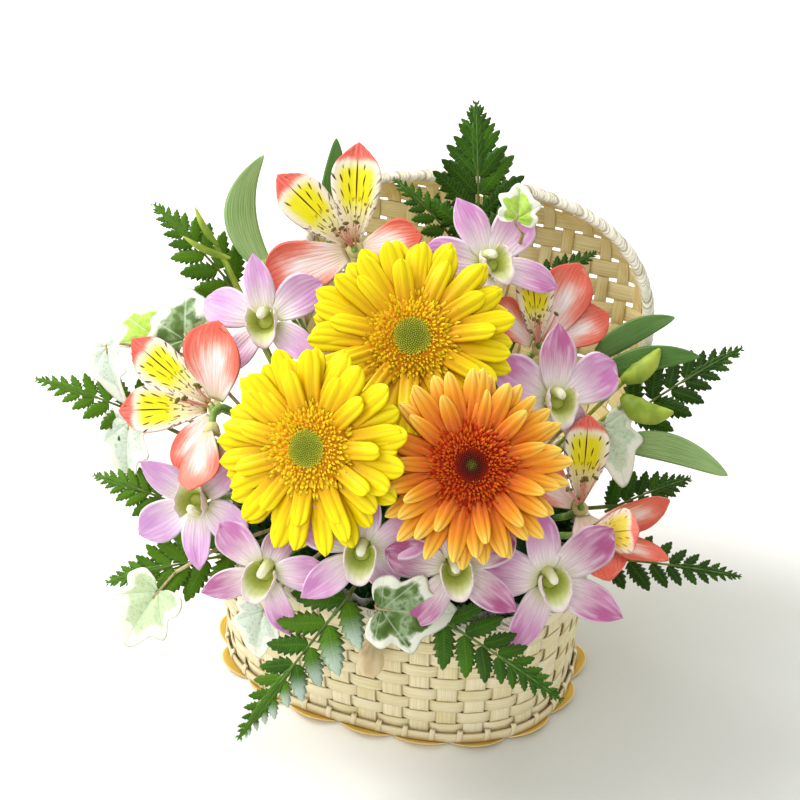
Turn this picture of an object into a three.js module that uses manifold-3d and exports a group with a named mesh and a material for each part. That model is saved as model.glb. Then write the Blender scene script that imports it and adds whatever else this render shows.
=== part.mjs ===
// A lidded oval bamboo basket filled with cut flowers on floral foam.
// Units are millimetres, +Z up. The origin is the centre of the basket's underside, its front toward -Y.
import * as THREE from 'three'
import { mergeVertices } from 'three/addons/utils/BufferGeometryUtils.js'
import Module from 'manifold-3d'

const wasm = await Module()
wasm.setup()

// Driving dimensions of the basket and its lid
const OVAL_POWER = 2.5
const AROUND = 32
const BASE_HALF = [93.2, 65.2]
const RIM_HALF = [100, 72]
const RIM_HEIGHT = 83
const RIM_RADIUS = 3.2
const WALL = 2.4
const FLOOR = 3
const WEAVE_SWING = 0.7
const LID_SKIN = 2
const BAND_HEIGHT = 8
const BAND_THICKNESS = 2
const LOOPS = 18
const LOOP_STEPS = 3
const LOOP_REACH = 5
const LOOP_HEIGHT = 3
const LOOP_THICKNESS = 1.2
const LID_RISE = 7
const LID_DEPTH = 20
const HINGE = new THREE.Vector3(0, 75, 86.5)
const LID_LEAN_DEG = 19
const HINGE_RING_RADIUS = 9.5
const HINGE_WIRE_RADIUS = 0.8
const HINGE_RING_OFFSET = 22
const FOAM_HALF = [72, 46]
const FOAM_TOP = 112
const BEAD_PLACE = [15, -79.6, 62]
const BEAD_RADIUS = 7
const BEAD_HEIGHT = 20

// The least air between two touching pieces, the air round a ring that the lid turns through,
// and the thickness of a petal or leaf
const GAP = 0.3
const RING_ROOM = 0.8
const BLADE = 0.8

// The arrangement faces the front right, a third of the way up from level
const HEART = new THREE.Vector3(0, 0, 163)
const FACE_TURN = THREE.MathUtils.degToRad(21)
const FACE_RISE = THREE.MathUtils.degToRad(34)
const ACROSS = new THREE.Vector3(Math.cos(FACE_TURN), Math.sin(FACE_TURN), 0)
const FORWARD = new THREE.Vector3(
  Math.sin(FACE_TURN) * Math.cos(FACE_RISE),
  -Math.cos(FACE_TURN) * Math.cos(FACE_RISE),
  Math.sin(FACE_RISE)
)
const RISE = new THREE.Vector3().crossVectors(FORWARD, ACROSS)

const COLOUR = {
  bamboo: '#e6d7b4',
  bambooRim: '#eadfc4',
  bead: '#c9a878',
  film: '#eef2f2',
  foam: '#2f5a38',
  yellow: '#f8d90a',
  orange: '#f39a2e',
  yellowEye: '#d79a12',
  orangeEye: '#7a2a1a',
  coral: '#ee8d7e',
  lavender: '#dda6d6',
  stem: '#6f9a45',
  fern: '#2f6b22',
  ivy: '#9fb88e',
  bud: '#a9c46a'
}

const degrees = THREE.MathUtils.degToRad
const vector = (x, y, z) => new THREE.Vector3(x, y, z)

// A place given as millimetres across, up and toward the viewer from the heart of the arrangement
function at([across, rise, forward]) {
  return HEART.clone()
    .addScaledVector(ACROSS, across)
    .addScaledVector(RISE, rise)
    .addScaledVector(FORWARD, forward)
}

// The frame of a bloom: its Z axis is where it looks, turned right and lifted up from the facing
function bloomFrame({ place, turn = 0, lift = 0, spin = 0 }) {
  const [t, l, s] = [turn, lift, spin].map(degrees)
  const axis = vector(0, 0, 0)
    .addScaledVector(FORWARD, Math.cos(t) * Math.cos(l))
    .addScaledVector(ACROSS, Math.sin(t) * Math.cos(l))
    .addScaledVector(RISE, Math.sin(l))
  const right = new THREE.Vector3().crossVectors(RISE, axis).normalize()
  const up = new THREE.Vector3().crossVectors(axis, right)
  const turned = new THREE.Matrix4().makeBasis(right, up, axis)
  return turned.multiply(new THREE.Matrix4().makeRotationZ(s)).setPosition(at(place))
}

function solidFrom(points, triangles) {
  return new wasm.Manifold(
    new wasm.Mesh({
      numProp: 3,
      vertProperties: new Float32Array(points.flatMap((p) => [p.x, p.y, p.z])),
      triVerts: new Uint32Array(triangles.flat())
    })
  )
}

function solidOf(geometry) {
  const bare = geometry.clone()
  bare.deleteAttribute('normal')
  bare.deleteAttribute('uv')
  const merged = mergeVertices(bare, 1e-4)
  return new wasm.Manifold(
    new wasm.Mesh({
      numProp: 3,
      vertProperties: merged.attributes.position.array,
      triVerts: new Uint32Array(merged.index.array)
    })
  )
}

const join = (solids) => solids.reduce((whole, piece) => whole.add(piece))

// A thin blade: a flat outline carried onto a curved surface and thickened to both sides.
// Both faces are split into triangles alike. grow makes it thicker and wider all round.
// Points are [u, v], or [u, v, part] where each part has a surface of its own and flat holds the outline.
function blade({ points, flat = points, faces, shape, thickness = BLADE, grow = 0 }) {
  const triangles = []
  for (const face of faces) {
    const corners = face.map((i) => new THREE.Vector2(flat[i][0], flat[i][1]))
    for (const cut of THREE.ShapeUtils.triangulateShape(corners, [])) {
      const [a, b, c] = cut.map((k) => face[k])
      const area =
        (flat[b][0] - flat[a][0]) * (flat[c][1] - flat[a][1]) -
        (flat[c][0] - flat[a][0]) * (flat[b][1] - flat[a][1])
      triangles.push(area > 0 ? [a, b, c] : [a, c, b])
    }
  }
  const step = 0.01
  const middle = points.map(([u, v, part]) => shape(u, v, part))
  const normals = points.map(([u, v, part], i) => {
    const along = shape(u + step, v, part).sub(middle[i])
    const over = shape(u, v + step, part).sub(middle[i])
    return along.cross(over).normalize()
  })
  const edges = new Map()
  for (const [a, b, c] of triangles) {
    for (const [from, to] of [[a, b], [b, c], [c, a]]) {
      if (!edges.delete(`${to} ${from}`)) edges.set(`${from} ${to}`, [from, to])
    }
  }
  const outward = points.map(() => vector(0, 0, 0))
  for (const [from, to] of edges.values()) {
    const side = middle[to].clone().sub(middle[from]).normalize()
    outward[from].add(side.clone().cross(normals[from]))
    outward[to].add(side.clone().cross(normals[to]))
  }
  const half = thickness / 2 + grow
  const rim = middle.map((p, i) => p.clone().addScaledVector(outward[i].normalize(), grow))
  const top = rim.map((p, i) => p.clone().addScaledVector(normals[i], half))
  const bottom = rim.map((p, i) => p.clone().addScaledVector(normals[i], -half))
  const n = points.length
  const walls = [...edges.values()].flatMap(([a, b]) => [[a + n, b + n, b], [a + n, b, a]])
  const under = triangles.map(([a, b, c]) => [a + n, c + n, b + n])
  return solidFrom([...top, ...bottom], [...triangles, ...under, ...walls])
}

// The points and faces of a strip folded along a rib: stations are [along, half width], the last a point
function strip(stations) {
  const points = []
  const faces = []
  stations.forEach(([u, half], k) => {
    const last = k === stations.length - 1
    if (last) points.push([u, 0])
    else points.push([u, -half], [u, 0], [u, half])
    if (k === 0) return
    const [l, m, r] = [3 * k - 3, 3 * k - 2, 3 * k - 1]
    if (last) faces.push([l, l + 3, m], [m, m + 2, r])
    else faces.push([l, l + 3, m + 3, m], [m, m + 3, r + 3, r])
  })
  return { points, faces }
}

// The same outline without the rib
function plainStrip(stations) {
  const points = []
  const faces = []
  stations.forEach(([u, half], k) => {
    const last = k === stations.length - 1
    if (last) points.push([u, 0])
    else points.push([u, -half], [u, half])
    if (k === 0) return
    const l = 2 * k - 2
    faces.push(last ? [l, l + 2, l + 1] : [l, l + 2, l + 3, l + 1])
  })
  return { points, faces }
}

// A tepal leaves the throat at an angle to the bloom's axis and curls further out along its length
function tepalShape({ frame, spin, open, curl, length, cup, start = 0 }) {
  const [s, o, c] = [spin, open, curl].map(degrees)
  const radial = vector(Math.cos(s), Math.sin(s), 0)
  const sideways = vector(-Math.sin(s), Math.cos(s), 0)
  return (u, v) => {
    const angle = o + c * u
    const out = start + (length / c) * (Math.cos(o) - Math.cos(angle))
    const up = (length / c) * (Math.sin(angle) - Math.sin(o))
    const lift = cup * v * v
    return vector(0, 0, up + lift * Math.sin(angle))
      .addScaledVector(radial, out - lift * Math.cos(angle))
      .addScaledVector(sideways, v)
      .applyMatrix4(frame)
  }
}

const TEPAL = {
  spoon: { outline: [[0, 0.09], [0.5, 0.8], [0.84, 0.86], [1, 0]], cut: strip },
  streaked: { outline: [[0, 0.09], [0.45, 0.8], [0.76, 0.86], [1, 0]], cut: strip },
  sepal: { outline: [[0, 0.3], [0.6, 1], [1, 0]], cut: plainStrip },
  petal: { outline: [[0, 0.2], [0.45, 0.86], [0.82, 0.8], [1, 0]], cut: plainStrip }
}

function tepal({ frame, kind, spin, open, curl = 18, length, width, cup = 0.012, grow }) {
  const { outline, cut } = TEPAL[kind]
  const stations = outline.map(([u, half]) => [u, (half * width) / 2])
  return blade({ ...cut(stations), shape: tepalShape({ frame, spin, open, curl, length, cup }), grow })
}

// All the tepals of a bloom as one blade: a small round at the throat with a strip for each tepal
function tepalStar({ frame, tepals, hub, grow }) {
  const points = []
  const flat = []
  const faces = []
  const throat = []
  const surfaces = []
  const inTurn = [...tepals].sort((a, b) => a.spin - b.spin)
  inTurn.forEach(({ kind, spin, length, width, open, curl = 18, cup = 0.012 }, part) => {
    const { outline, cut } = TEPAL[kind]
    const stations = outline.map(([u, half]) => [u, (half * width) / 2])
    const piece = cut(stations)
    const first = points.length
    const turn = degrees(spin)
    for (const [u, v] of piece.points) {
      const reach = hub + u * length
      points.push([u, v, part])
      flat.push([reach * Math.cos(turn) - v * Math.sin(turn), reach * Math.sin(turn) + v * Math.cos(turn)])
    }
    faces.push(...piece.faces.map((face) => face.map((i) => i + first)))
    const base = cut === strip ? 3 : 2
    for (let i = 0; i < base; i++) throat.push(first + i)
    surfaces.push(tepalShape({ frame, spin, open, curl, length, cup, start: hub }))
  })
  faces.push(throat)
  return blade({ points, flat, faces, shape: (u, v, part) => surfaces[part](u, v), grow })
}

function tube(points, radius, sides, steps) {
  const turn = (2 * Math.PI) / sides
  const section = Array.from(
    { length: sides },
    (_, k) => new THREE.Vector2(radius * Math.cos(k * turn), radius * Math.sin(k * turn))
  )
  const extrudePath = new THREE.CatmullRomCurve3(points)
  return solidOf(
    new THREE.ExtrudeGeometry(new THREE.Shape(section), { steps, extrudePath, bevelEnabled: false })
  )
}

// A rounded lump with a vertical profile, set into a frame
function turned(profile, sides, frame) {
  const outline = profile.map(([r, z]) => new THREE.Vector2(r, z))
  const geometry = new THREE.LatheGeometry(outline, sides)
  geometry.rotateX(Math.PI / 2)
  return solidOf(geometry.applyMatrix4(frame))
}

function egg(radius, low, high, sides, frame) {
  const reach = high - low
  const belly = [radius * 0.95, low + reach * 0.34]
  const shoulder = [radius * 0.8, low + reach * 0.72]
  return turned([[0, low], belly, shoulder, [0, high]], sides, frame)
}

// Ovals: the basket, its lid and all that runs round them
function ovalPoint(turn, halfX, halfY) {
  const power = 2 / OVAL_POWER
  const [c, s] = [Math.cos(turn), Math.sin(turn)]
  return [
    halfX * Math.sign(c) * Math.abs(c) ** power,
    halfY * Math.sign(s) * Math.abs(s) ** power
  ]
}

// A solid whose level sections are ovals, from its underside's centre out, up and in to its top's centre.
// relief moves a point of a row outward. A ring has no centre: its last row meets its first.
function ovalSolid({ rows, around, ring = false, relief = () => 0, frame = new THREE.Matrix4() }) {
  const points = []
  rows.forEach(([halfX, halfY, z], i) => {
    for (let j = 0; j < around; j++) {
      const out = relief(i, j)
      const [x, y] = ovalPoint((2 * Math.PI * j) / around, halfX + out, halfY + out)
      points.push(vector(x, y, z).applyMatrix4(frame))
    }
  })
  const triangles = []
  const index = (i, j) => (i % rows.length) * around + (j % around)
  const spans = ring ? rows.length : rows.length - 1
  for (let i = 0; i < spans; i++) {
    for (let j = 0; j < around; j++) {
      const [a, b, c, d] = [index(i, j), index(i, j + 1), index(i + 1, j + 1), index(i + 1, j)]
      if ((i + j) % 2) triangles.push([a, b, c], [a, c, d])
      else triangles.push([a, b, d], [b, c, d])
    }
  }
  if (!ring) {
    const low = points.push(vector(0, 0, rows[0][2]).applyMatrix4(frame)) - 1
    const high = points.push(vector(0, 0, rows.at(-1)[2]).applyMatrix4(frame)) - 1
    for (let j = 0; j < around; j++) {
      triangles.push([low, index(0, j + 1), index(0, j)])
      triangles.push([high, index(rows.length - 1, j), index(rows.length - 1, j + 1)])
    }
  }
  return solidFrom(points, triangles)
}

const mix = (a, b, t) => a + (b - a) * t

// The wall leans out from the floor to the rim; inset is how far a surface lies inside its outer face
function wallRow(z, inset) {
  const t = z / RIM_HEIGHT
  return [mix(BASE_HALF[0], RIM_HALF[0], t) - inset, mix(BASE_HALF[1], RIM_HALF[1], t) - inset, z]
}

function basketBody(grow) {
  const splints = 7
  const under = RIM_HEIGHT - RIM_RADIUS - GAP
  const outer = Array.from({ length: splints }, (_, k) => wallRow((under * k) / (splints - 1), -grow))
  const inner = [under, FLOOR].map((z) => wallRow(z, WALL + grow))
  const rows = [[BASE_HALF[0] - 4, BASE_HALF[1] - 4, 0], ...outer, ...inner]
  const woven = (i, j) => (i > 1 && i < splints ? ((i + j) % 2 ? WEAVE_SWING : -WEAVE_SWING) : 0)
  return [ovalSolid({ rows, around: AROUND, relief: woven })]
}

// A round bar that follows the oval, its thickness swelling where the binding splint crosses
function boundRim(half, z, radius, frame) {
  const sides = 5
  const rows = Array.from({ length: sides }, (_, k) => {
    const turn = (2 * Math.PI * (k + 0.5)) / sides
    const out = radius * Math.cos(turn)
    return [half[0] + out, half[1] + out, z + radius * Math.sin(turn)]
  })
  const notch = (i, j) => (j % 2 ? -0.25 * Math.sign(rows[i][0] - half[0]) : 0)
  return ovalSolid({ rows, around: AROUND, ring: true, relief: notch, frame })
}

function basketFoot(grow) {
  const near = 4 * GAP - grow
  const far = 4 * GAP + BAND_THICKNESS + grow
  const low = [wallRow(0, -near), wallRow(0, -far)]
  const rows = [...low, wallRow(BAND_HEIGHT, -far), wallRow(BAND_HEIGHT, -near)]
  return [ovalSolid({ rows, around: AROUND, ring: true })]
}

// One splint runs round under the band and stands out from it in a row of loops
function basketLoops(grow) {
  const [x, y] = BASE_HALF.map((half) => half + 5 * GAP + BAND_THICKNESS + LOOP_THICKNESS)
  const [thin, tall] = [LOOP_THICKNESS / 2 + grow, LOOP_HEIGHT / 2 + grow]
  const section = [[-thin, -tall], [thin, -tall], [thin, tall], [-thin, tall]]
  const rows = section.map(([out, up]) => [x + out, y + out, LOOP_HEIGHT / 2 + up])
  const scallop = (i, j) => LOOP_REACH * Math.abs(Math.sin((Math.PI * j) / LOOP_STEPS))
  return [ovalSolid({ rows, around: LOOPS * LOOP_STEPS, ring: true, relief: scallop })]
}

// The lid closed, then turned about its hinge until it leans back behind the flowers
const LID_FRAME = new THREE.Matrix4()
  .makeTranslation(...HINGE.toArray())
  .multiply(new THREE.Matrix4().makeRotationX(-degrees(90 + LID_LEAN_DEG)))
  .multiply(new THREE.Matrix4().makeTranslation(...HINGE.clone().negate().toArray()))
const LID_PLANE = RIM_HEIGHT + LID_RISE

function lidPanel(grow) {
  // Each step is how far in from the rim bar the skin lies and how deep it is there
  const steps = [[44, 1], [20, 0.98], [9, 0.8], [RIM_RADIUS + 2 * GAP + WALL, 0]]
  const level = ([inset, depth], offset) => [
    RIM_HALF[0] - inset + offset,
    RIM_HALF[1] - inset + offset,
    LID_PLANE + LID_DEPTH * depth + offset
  ]
  const inside = steps.map((one) => level(one, -grow))
  const outside = steps.map((one) => level(one, LID_SKIN + grow)).reverse()
  outside[0][2] = LID_PLANE - grow
  const rows = [...inside, ...outside]
  const woven = (i, j) => ([1, 2, 5, 6].includes(i) ? ((i + j) % 2 ? 0.5 : -0.5) : 0)
  return [ovalSolid({ rows, around: AROUND, relief: woven, frame: LID_FRAME })]
}

function hingeRing(side, grow) {
  const geometry = new THREE.TorusGeometry(HINGE_RING_RADIUS, HINGE_WIRE_RADIUS + grow, 5, 12)
  geometry.rotateY(Math.PI / 2)
  geometry.translate(side * HINGE_RING_OFFSET, HINGE.y, HINGE.z)
  return [solidOf(geometry)]
}

function beadSolid(grow) {
  const frame = new THREE.Matrix4().makeTranslation(...BEAD_PLACE)
  return [egg(BEAD_RADIUS + grow, -BEAD_HEIGHT / 2 - grow, BEAD_HEIGHT / 2 + grow, 12, frame)]
}

function beadTie(grow) {
  const [x, y, z] = BEAD_PLACE
  const route = [vector(x, y, z + BEAD_HEIGHT / 2 + GAP), vector(x, y + 2, RIM_HEIGHT - 5)]
  const [wrap, middle] = [RIM_RADIUS + 1.2, 0.4 - RIM_HALF[1]]
  for (const turn of [190, 140, 90, 40, -10].map(degrees)) {
    route.push(vector(x, middle + wrap * Math.cos(turn), RIM_HEIGHT + wrap * Math.sin(turn)))
  }
  route.push(vector(x, middle + wrap, RIM_HEIGHT - 5))
  return [tube(route, 0.6 + grow, 4, 10)]
}

function foamBlock() {
  const low = FLOOR + GAP
  const rows = [[82, 54, low], [86, 58, 74], [84, 56, 84], [FOAM_HALF[0] + 6, FOAM_HALF[1] + 5, 92]]
  rows.push([...FOAM_HALF, FOAM_TOP - 8], [FOAM_HALF[0] - 12, FOAM_HALF[1] - 11, FOAM_TOP])
  return [ovalSolid({ rows, around: 12 })]
}

// The clear lining stands between the foam and the wall and opens out in ruffles above the rim
function linerFilm() {
  const film = 0.6
  const outer = [[87.6, 59.6, 50], [90, 62, 76], [93, 65, 88]]
  const inner = outer.map(([x, y, z]) => [x - film, y - film, z]).reverse()
  const ruffle = (i, j) => (i === 2 || i === 3 ? 1.2 * Math.sin(j * 1.9) : 0)
  return [ovalSolid({ rows: [...outer, ...inner], around: 20, ring: true, relief: ruffle })]
}

// A stem leaves the back of a bloom and bends down into the foam
const STEM_SINK = 10
function foamPoint(p) {
  const inside = (value, limit) => Math.max(-limit, Math.min(limit, value))
  const deeper = 0.05 * Math.max(0, 190 - p.z)
  return vector(inside(p.x * 0.62, 52), inside(p.y * 0.5 + 4, 30), FOAM_TOP - STEM_SINK - deeper)
}

function stem(frame, back, root, radius, sides, grow) {
  const start = vector(0, 0, -back + 1).applyMatrix4(frame)
  const end = root ? vector(...root) : foamPoint(start)
  const reach = start.distanceTo(end)
  const bend = vector(0, 0, -back - reach * 0.34).applyMatrix4(frame).lerp(end, 0.2)
  return tube([start, bend, end], radius + grow, sides, 3)
}

// Gerbera: two layers of rays cut out of thin rounds, a floret disc and a stem with its cup of bracts
function rayLayer({ frame, rays, radius, hub, height, droop, shift, grow }) {
  const points = []
  for (let k = 0; k < rays; k++) {
    const step = (2 * Math.PI) / rays
    const middle = (k + shift) * step
    const wave = 1 + 0.05 * Math.sin(5 * k + rays)
    const corner = (share, half) => {
      const r = radius * share * wave
      const turn = middle + half / r
      points.push([r * Math.cos(turn), r * Math.sin(turn)])
    }
    const wide = Math.min(5.4, radius * 0.68 * step * 0.47)
    points.push([hub * Math.cos(middle - step / 2), hub * Math.sin(middle - step / 2)])
    corner(0.68, -wide)
    corner(0.98, -wide * 0.5)
    corner(0.98, wide * 0.5)
    corner(0.68, wide)
  }
  const shape = (x, y) => {
    const t = Math.max(0, (Math.hypot(x, y) - hub) / (radius - hub))
    return vector(x, y, height + 7 * t - droop * t * t).applyMatrix4(frame)
  }
  return blade({ points, faces: [points.map((_, i) => i)], shape, grow })
}

const RAY_HUB = 14
const CORE = 5

function gerberaRays({ frame, radius }, grow) {
  const [side, end] = [CORE + grow, 2.2 + grow]
  const outer = { frame, radius, hub: RAY_HUB, grow }
  const inner = { ...outer, radius: radius * 0.84 }
  return [
    turned([[0, -end], [side, -end], [side, end], [0, end]], 5, frame),
    rayLayer({ ...outer, rays: 16, height: -1.4, droop: 6, shift: 0 }),
    rayLayer({ ...inner, rays: 12, height: 1.4, droop: 3, shift: 0.5 })
  ]
}

function gerberaDisc({ frame, disc }, grow) {
  const around = 16
  const rings = [[0.35, 5.2], [0.62, 6.4], [0.86, 7], [1, 5.6], [0.55, 2.4 + 2 * GAP]]
  const points = []
  rings.forEach(([share, z], i) => {
    for (let j = 0; j < around; j++) {
      const bump = i < 4 ? ((i + j) % 2 ? 0.9 : -0.6) : 0
      const r = disc * share + grow
      const turn = (2 * Math.PI * j) / around
      points.push(vector(r * Math.cos(turn), r * Math.sin(turn), z + bump).applyMatrix4(frame))
    }
  })
  const triangles = []
  for (let i = 0; i < rings.length - 1; i++) {
    for (let j = 0; j < around; j++) {
      const [a, b] = [i * around + j, i * around + ((j + 1) % around)]
      triangles.push([a, a + around, b + around], [a, b + around, b])
    }
  }
  const top = points.push(vector(0, 0, 4.4 + grow).applyMatrix4(frame)) - 1
  const low = points.push(vector(0, 0, 2.4 + 2 * GAP).applyMatrix4(frame)) - 1
  for (let j = 0; j < around; j++) {
    const next = (j + 1) % around
    triangles.push([top, j, next], [low, 4 * around + next, 4 * around + j])
  }
  return [solidFrom(points, triangles)]
}

function gerberaStem({ frame, root }, grow) {
  const bracts = [[0, -9 - grow], [4, -9], [11 + grow, -3.8 - GAP], [0, -2.6 - GAP]]
  return [turned(bracts, 8, frame), stem(frame, 8, root, 2.4, 5, grow)]
}

// A bloom of separate tepals round a small throat, on its own stalk
function tepalBloom({ frame, tepals, throat, lip, root, stalk, leaves = [], buds = [] }, grow) {
  const pieces = [tepalStar({ frame, tepals, hub: throat, grow })]
  if (lip) pieces.push(...lip(frame, grow))
  pieces.push(stem(frame, -1, root, stalk, 4, grow))
  const foot = root ? vector(...root) : foamPoint(vector(0, 0, -throat).applyMatrix4(frame))
  for (const one of leaves) pieces.push(...longLeaf({ foot, ...one }, grow))
  for (const one of buds) pieces.push(...stalkedBud({ foot, ...one }, grow))
  return pieces
}

// A long leaf rises from the foam beside its flower, widest past its middle, arched and turned
function longLeaf({ foot, from, to, width, bow = [0, 0, 0], facing = 0 }, grow) {
  const [a, b] = [at(from), at(to)]
  const middle = a.clone().lerp(b, 0.5).add(vector(...bow))
  const spine = new THREE.QuadraticBezierCurve3(a, middle, b)
  const along = b.clone().sub(a).normalize()
  const outward = FORWARD.clone().applyAxisAngle(along, degrees(facing))
  const across = new THREE.Vector3().crossVectors(outward, along).normalize()
  const normal = new THREE.Vector3().crossVectors(along, across)
  const shape = (u, v) =>
    spine.getPoint(Math.min(1, u)).addScaledVector(across, v).addScaledVector(normal, -0.02 * v * v)
  const share = [[0, 0.2], [0.3, 0.9], [0.62, 0.78], [1, 0]]
  const outline = share.map(([u, half]) => [u * 0.99, (half * width) / 2])
  const pieces = [blade({ ...strip(outline), shape, grow })]
  const handle = [spine.getPoint(0.08), a.clone().lerp(foot, 0.4).addScaledVector(FORWARD, -4), foot]
  pieces.push(tube(handle, 1.3 + grow, 3, 2))
  return pieces
}

function stalkedBud({ foot, from, to, width }, grow) {
  const [a, b] = [at(from), at(to)]
  const axis = b.clone().sub(a)
  const reach = axis.length()
  const frame = new THREE.Matrix4().makeRotationFromQuaternion(
    new THREE.Quaternion().setFromUnitVectors(vector(0, 0, 1), axis.normalize())
  )
  frame.setPosition(a)
  const handle = [a.clone().lerp(b, 0.2), a.clone().lerp(foot, 0.4).addScaledVector(FORWARD, -3), foot]
  return [egg(width / 2 + grow, -grow, reach + grow, 6, frame), tube(handle, 1.1 + grow, 3, 2)]
}

// Dendrobium: three sepals, two broader petals and a scooped lip under the column
function orchidTepals(size) {
  const [sepal, petal] = [size * 0.5, size * 0.64]
  return [
    { spin: 90, open: 66, length: size, width: sepal, kind: 'sepal' },
    { spin: 28, open: 72, length: size, width: petal, kind: 'petal' },
    { spin: 152, open: 72, length: size, width: petal, kind: 'petal' },
    { spin: 222, open: 68, length: size, width: sepal, kind: 'sepal' },
    { spin: 318, open: 68, length: size, width: sepal, kind: 'sepal' }
  ]
}

function orchidLip(frame, grow) {
  const scoop = { spin: 270, open: 34, curl: 60, length: 20, width: 17, cup: 0.05, kind: 'petal' }
  return [tepal({ ...scoop, frame, grow })]
}

// Leatherleaf frond: toothed leaflets cut to the rib out of one arched blade
function fernFrond({ from, to, width, root, bow = 6, pairs = 7, lean = 56, breadth = 1 }, grow) {
  const [a, b] = [at(from), at(to)]
  const length = a.distanceTo(b)
  const along = b.clone().sub(a).normalize()
  const outward = FORWARD.clone().lerp(vector(0, 0, 1), 0.3)
  const across = new THREE.Vector3().crossVectors(outward, along).normalize()
  const normal = new THREE.Vector3().crossVectors(along, across)
  const shape = (x, y) => {
    const t = x / length
    return a
      .clone()
      .addScaledVector(along, x)
      .addScaledVector(across, y)
      .addScaledVector(normal, 4 * bow * t * (1 - t) - 0.006 * y * y)
  }
  const shrink = 0.83
  const leaflet = [[0.03, -0.1], [0.45, -0.24], [1, 0], [0.5, 0.2]]
  const half = (mirror) => {
    const side = []
    for (let k = 0; k < pairs; k++) {
      const start = (length * 0.92 * (1 - shrink ** k)) / (1 - shrink ** pairs)
      const reach = (width / 2) * shrink ** k * (k === 0 ? 0.86 : 1) * 1.12
      const slant = degrees(lean - 2 * k)
      for (const [p, share] of leaflet) {
        const q = share * breadth
        const x = start + reach * (p * Math.cos(slant) + q * Math.sin(slant)) + 1.5
        const y = 0.9 + reach * (p * Math.sin(slant) - q * Math.cos(slant))
        side.push([x, mirror * Math.max(0.9, y)])
      }
    }
    return side
  }
  const right = half(-1)
  const left = half(1).reverse()
  const points = [[-2, -0.9], ...right, [length, 0], ...left, [-2, 0.9]]
  const pieces = [blade({ points, faces: [points.map((_, i) => i)], shape, grow, thickness: 0.7 })]
  const foot = root ? vector(...root) : foamPoint(a)
  const handle = [shape(length * 0.12, 0), a.clone().lerp(foot, 0.3), foot]
  pieces.push(tube(handle, 1.2 + grow, 3, 2))
  return pieces
}

// Ivy: half outlines of a leaf with five pointed lobes and of a round one, folded along the midrib
const POINTED_HALF = [
  [0.1, -0.1],
  [0.34, -0.15],
  [0.46, 0.05],
  [0.35, 0.2],
  [0.52, 0.45],
  [0.27, 0.54],
  [0.17, 0.8]
]
const ROUND_HALF = [
  [0.14, -0.3],
  [0.5, -0.2],
  [0.62, 0.1],
  [0.54, 0.26],
  [0.6, 0.46],
  [0.38, 0.58],
  [0.26, 0.84]
]

function ivyLeaf({ frame, size, round = false }, grow) {
  const right = (round ? ROUND_HALF : POINTED_HALF).map(([x, y]) => [x * size, y * size])
  const left = right.map(([x, y]) => [-x, y]).reverse()
  const rib = [[0, 0], [0, size * 0.5], [0, size]]
  const points = [rib[0], ...right, rib[2], ...left, rib[1]]
  const n = points.length
  const tip = right.length + 1
  const faces = [
    [...Array(tip + 1).keys(), n - 1],
    [0, n - 1, ...Array.from({ length: n - 1 - tip }, (_, k) => k + tip)]
  ]
  const shape = (x, y) => vector(x, y, 0.22 * Math.abs(x) - (0.3 * y * y) / size).applyMatrix4(frame)
  return blade({ points, faces, shape, grow })
}

function ivySpray({ leaves, route }, grow) {
  const pieces = []
  const path = route.map((place) => at(place))
  path.push(foamPoint(path.at(-1)))
  pieces.push(tube(path, 1.1 + grow, 3, 4))
  for (const leaf of leaves) {
    const { place, size } = leaf
    const frame = bloomFrame(leaf)
    pieces.push(ivyLeaf({ ...leaf, frame }, grow))
    const nearest = path.reduce((best, p) =>
      p.distanceTo(at(place)) < best.distanceTo(at(place)) ? p : best
    )
    const inside = vector(0, size * 0.12, 0).applyMatrix4(frame)
    pieces.push(tube([inside, vector(0, -2, -1).applyMatrix4(frame), nearest], 0.8 + grow, 3, 2))
  }
  return pieces
}

// Where each flower and leaf stands, and which way it looks
const YELLOW = { ray: COLOUR.yellow, eye: COLOUR.yellowEye, disc: 21 }
const ORANGE = { ray: COLOUR.orange, eye: COLOUR.orangeEye, disc: 19 }
const GERBERAS = {
  top: { ...YELLOW, place: [6, 30, 25], lift: 12, radius: 52 },
  left: { ...YELLOW, place: [-42, -23, 52], turn: -25, radius: 49 },
  orange: { ...ORANGE, place: [33, -31, 60], turn: 4, lift: 8, radius: 47 }
}

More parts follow.
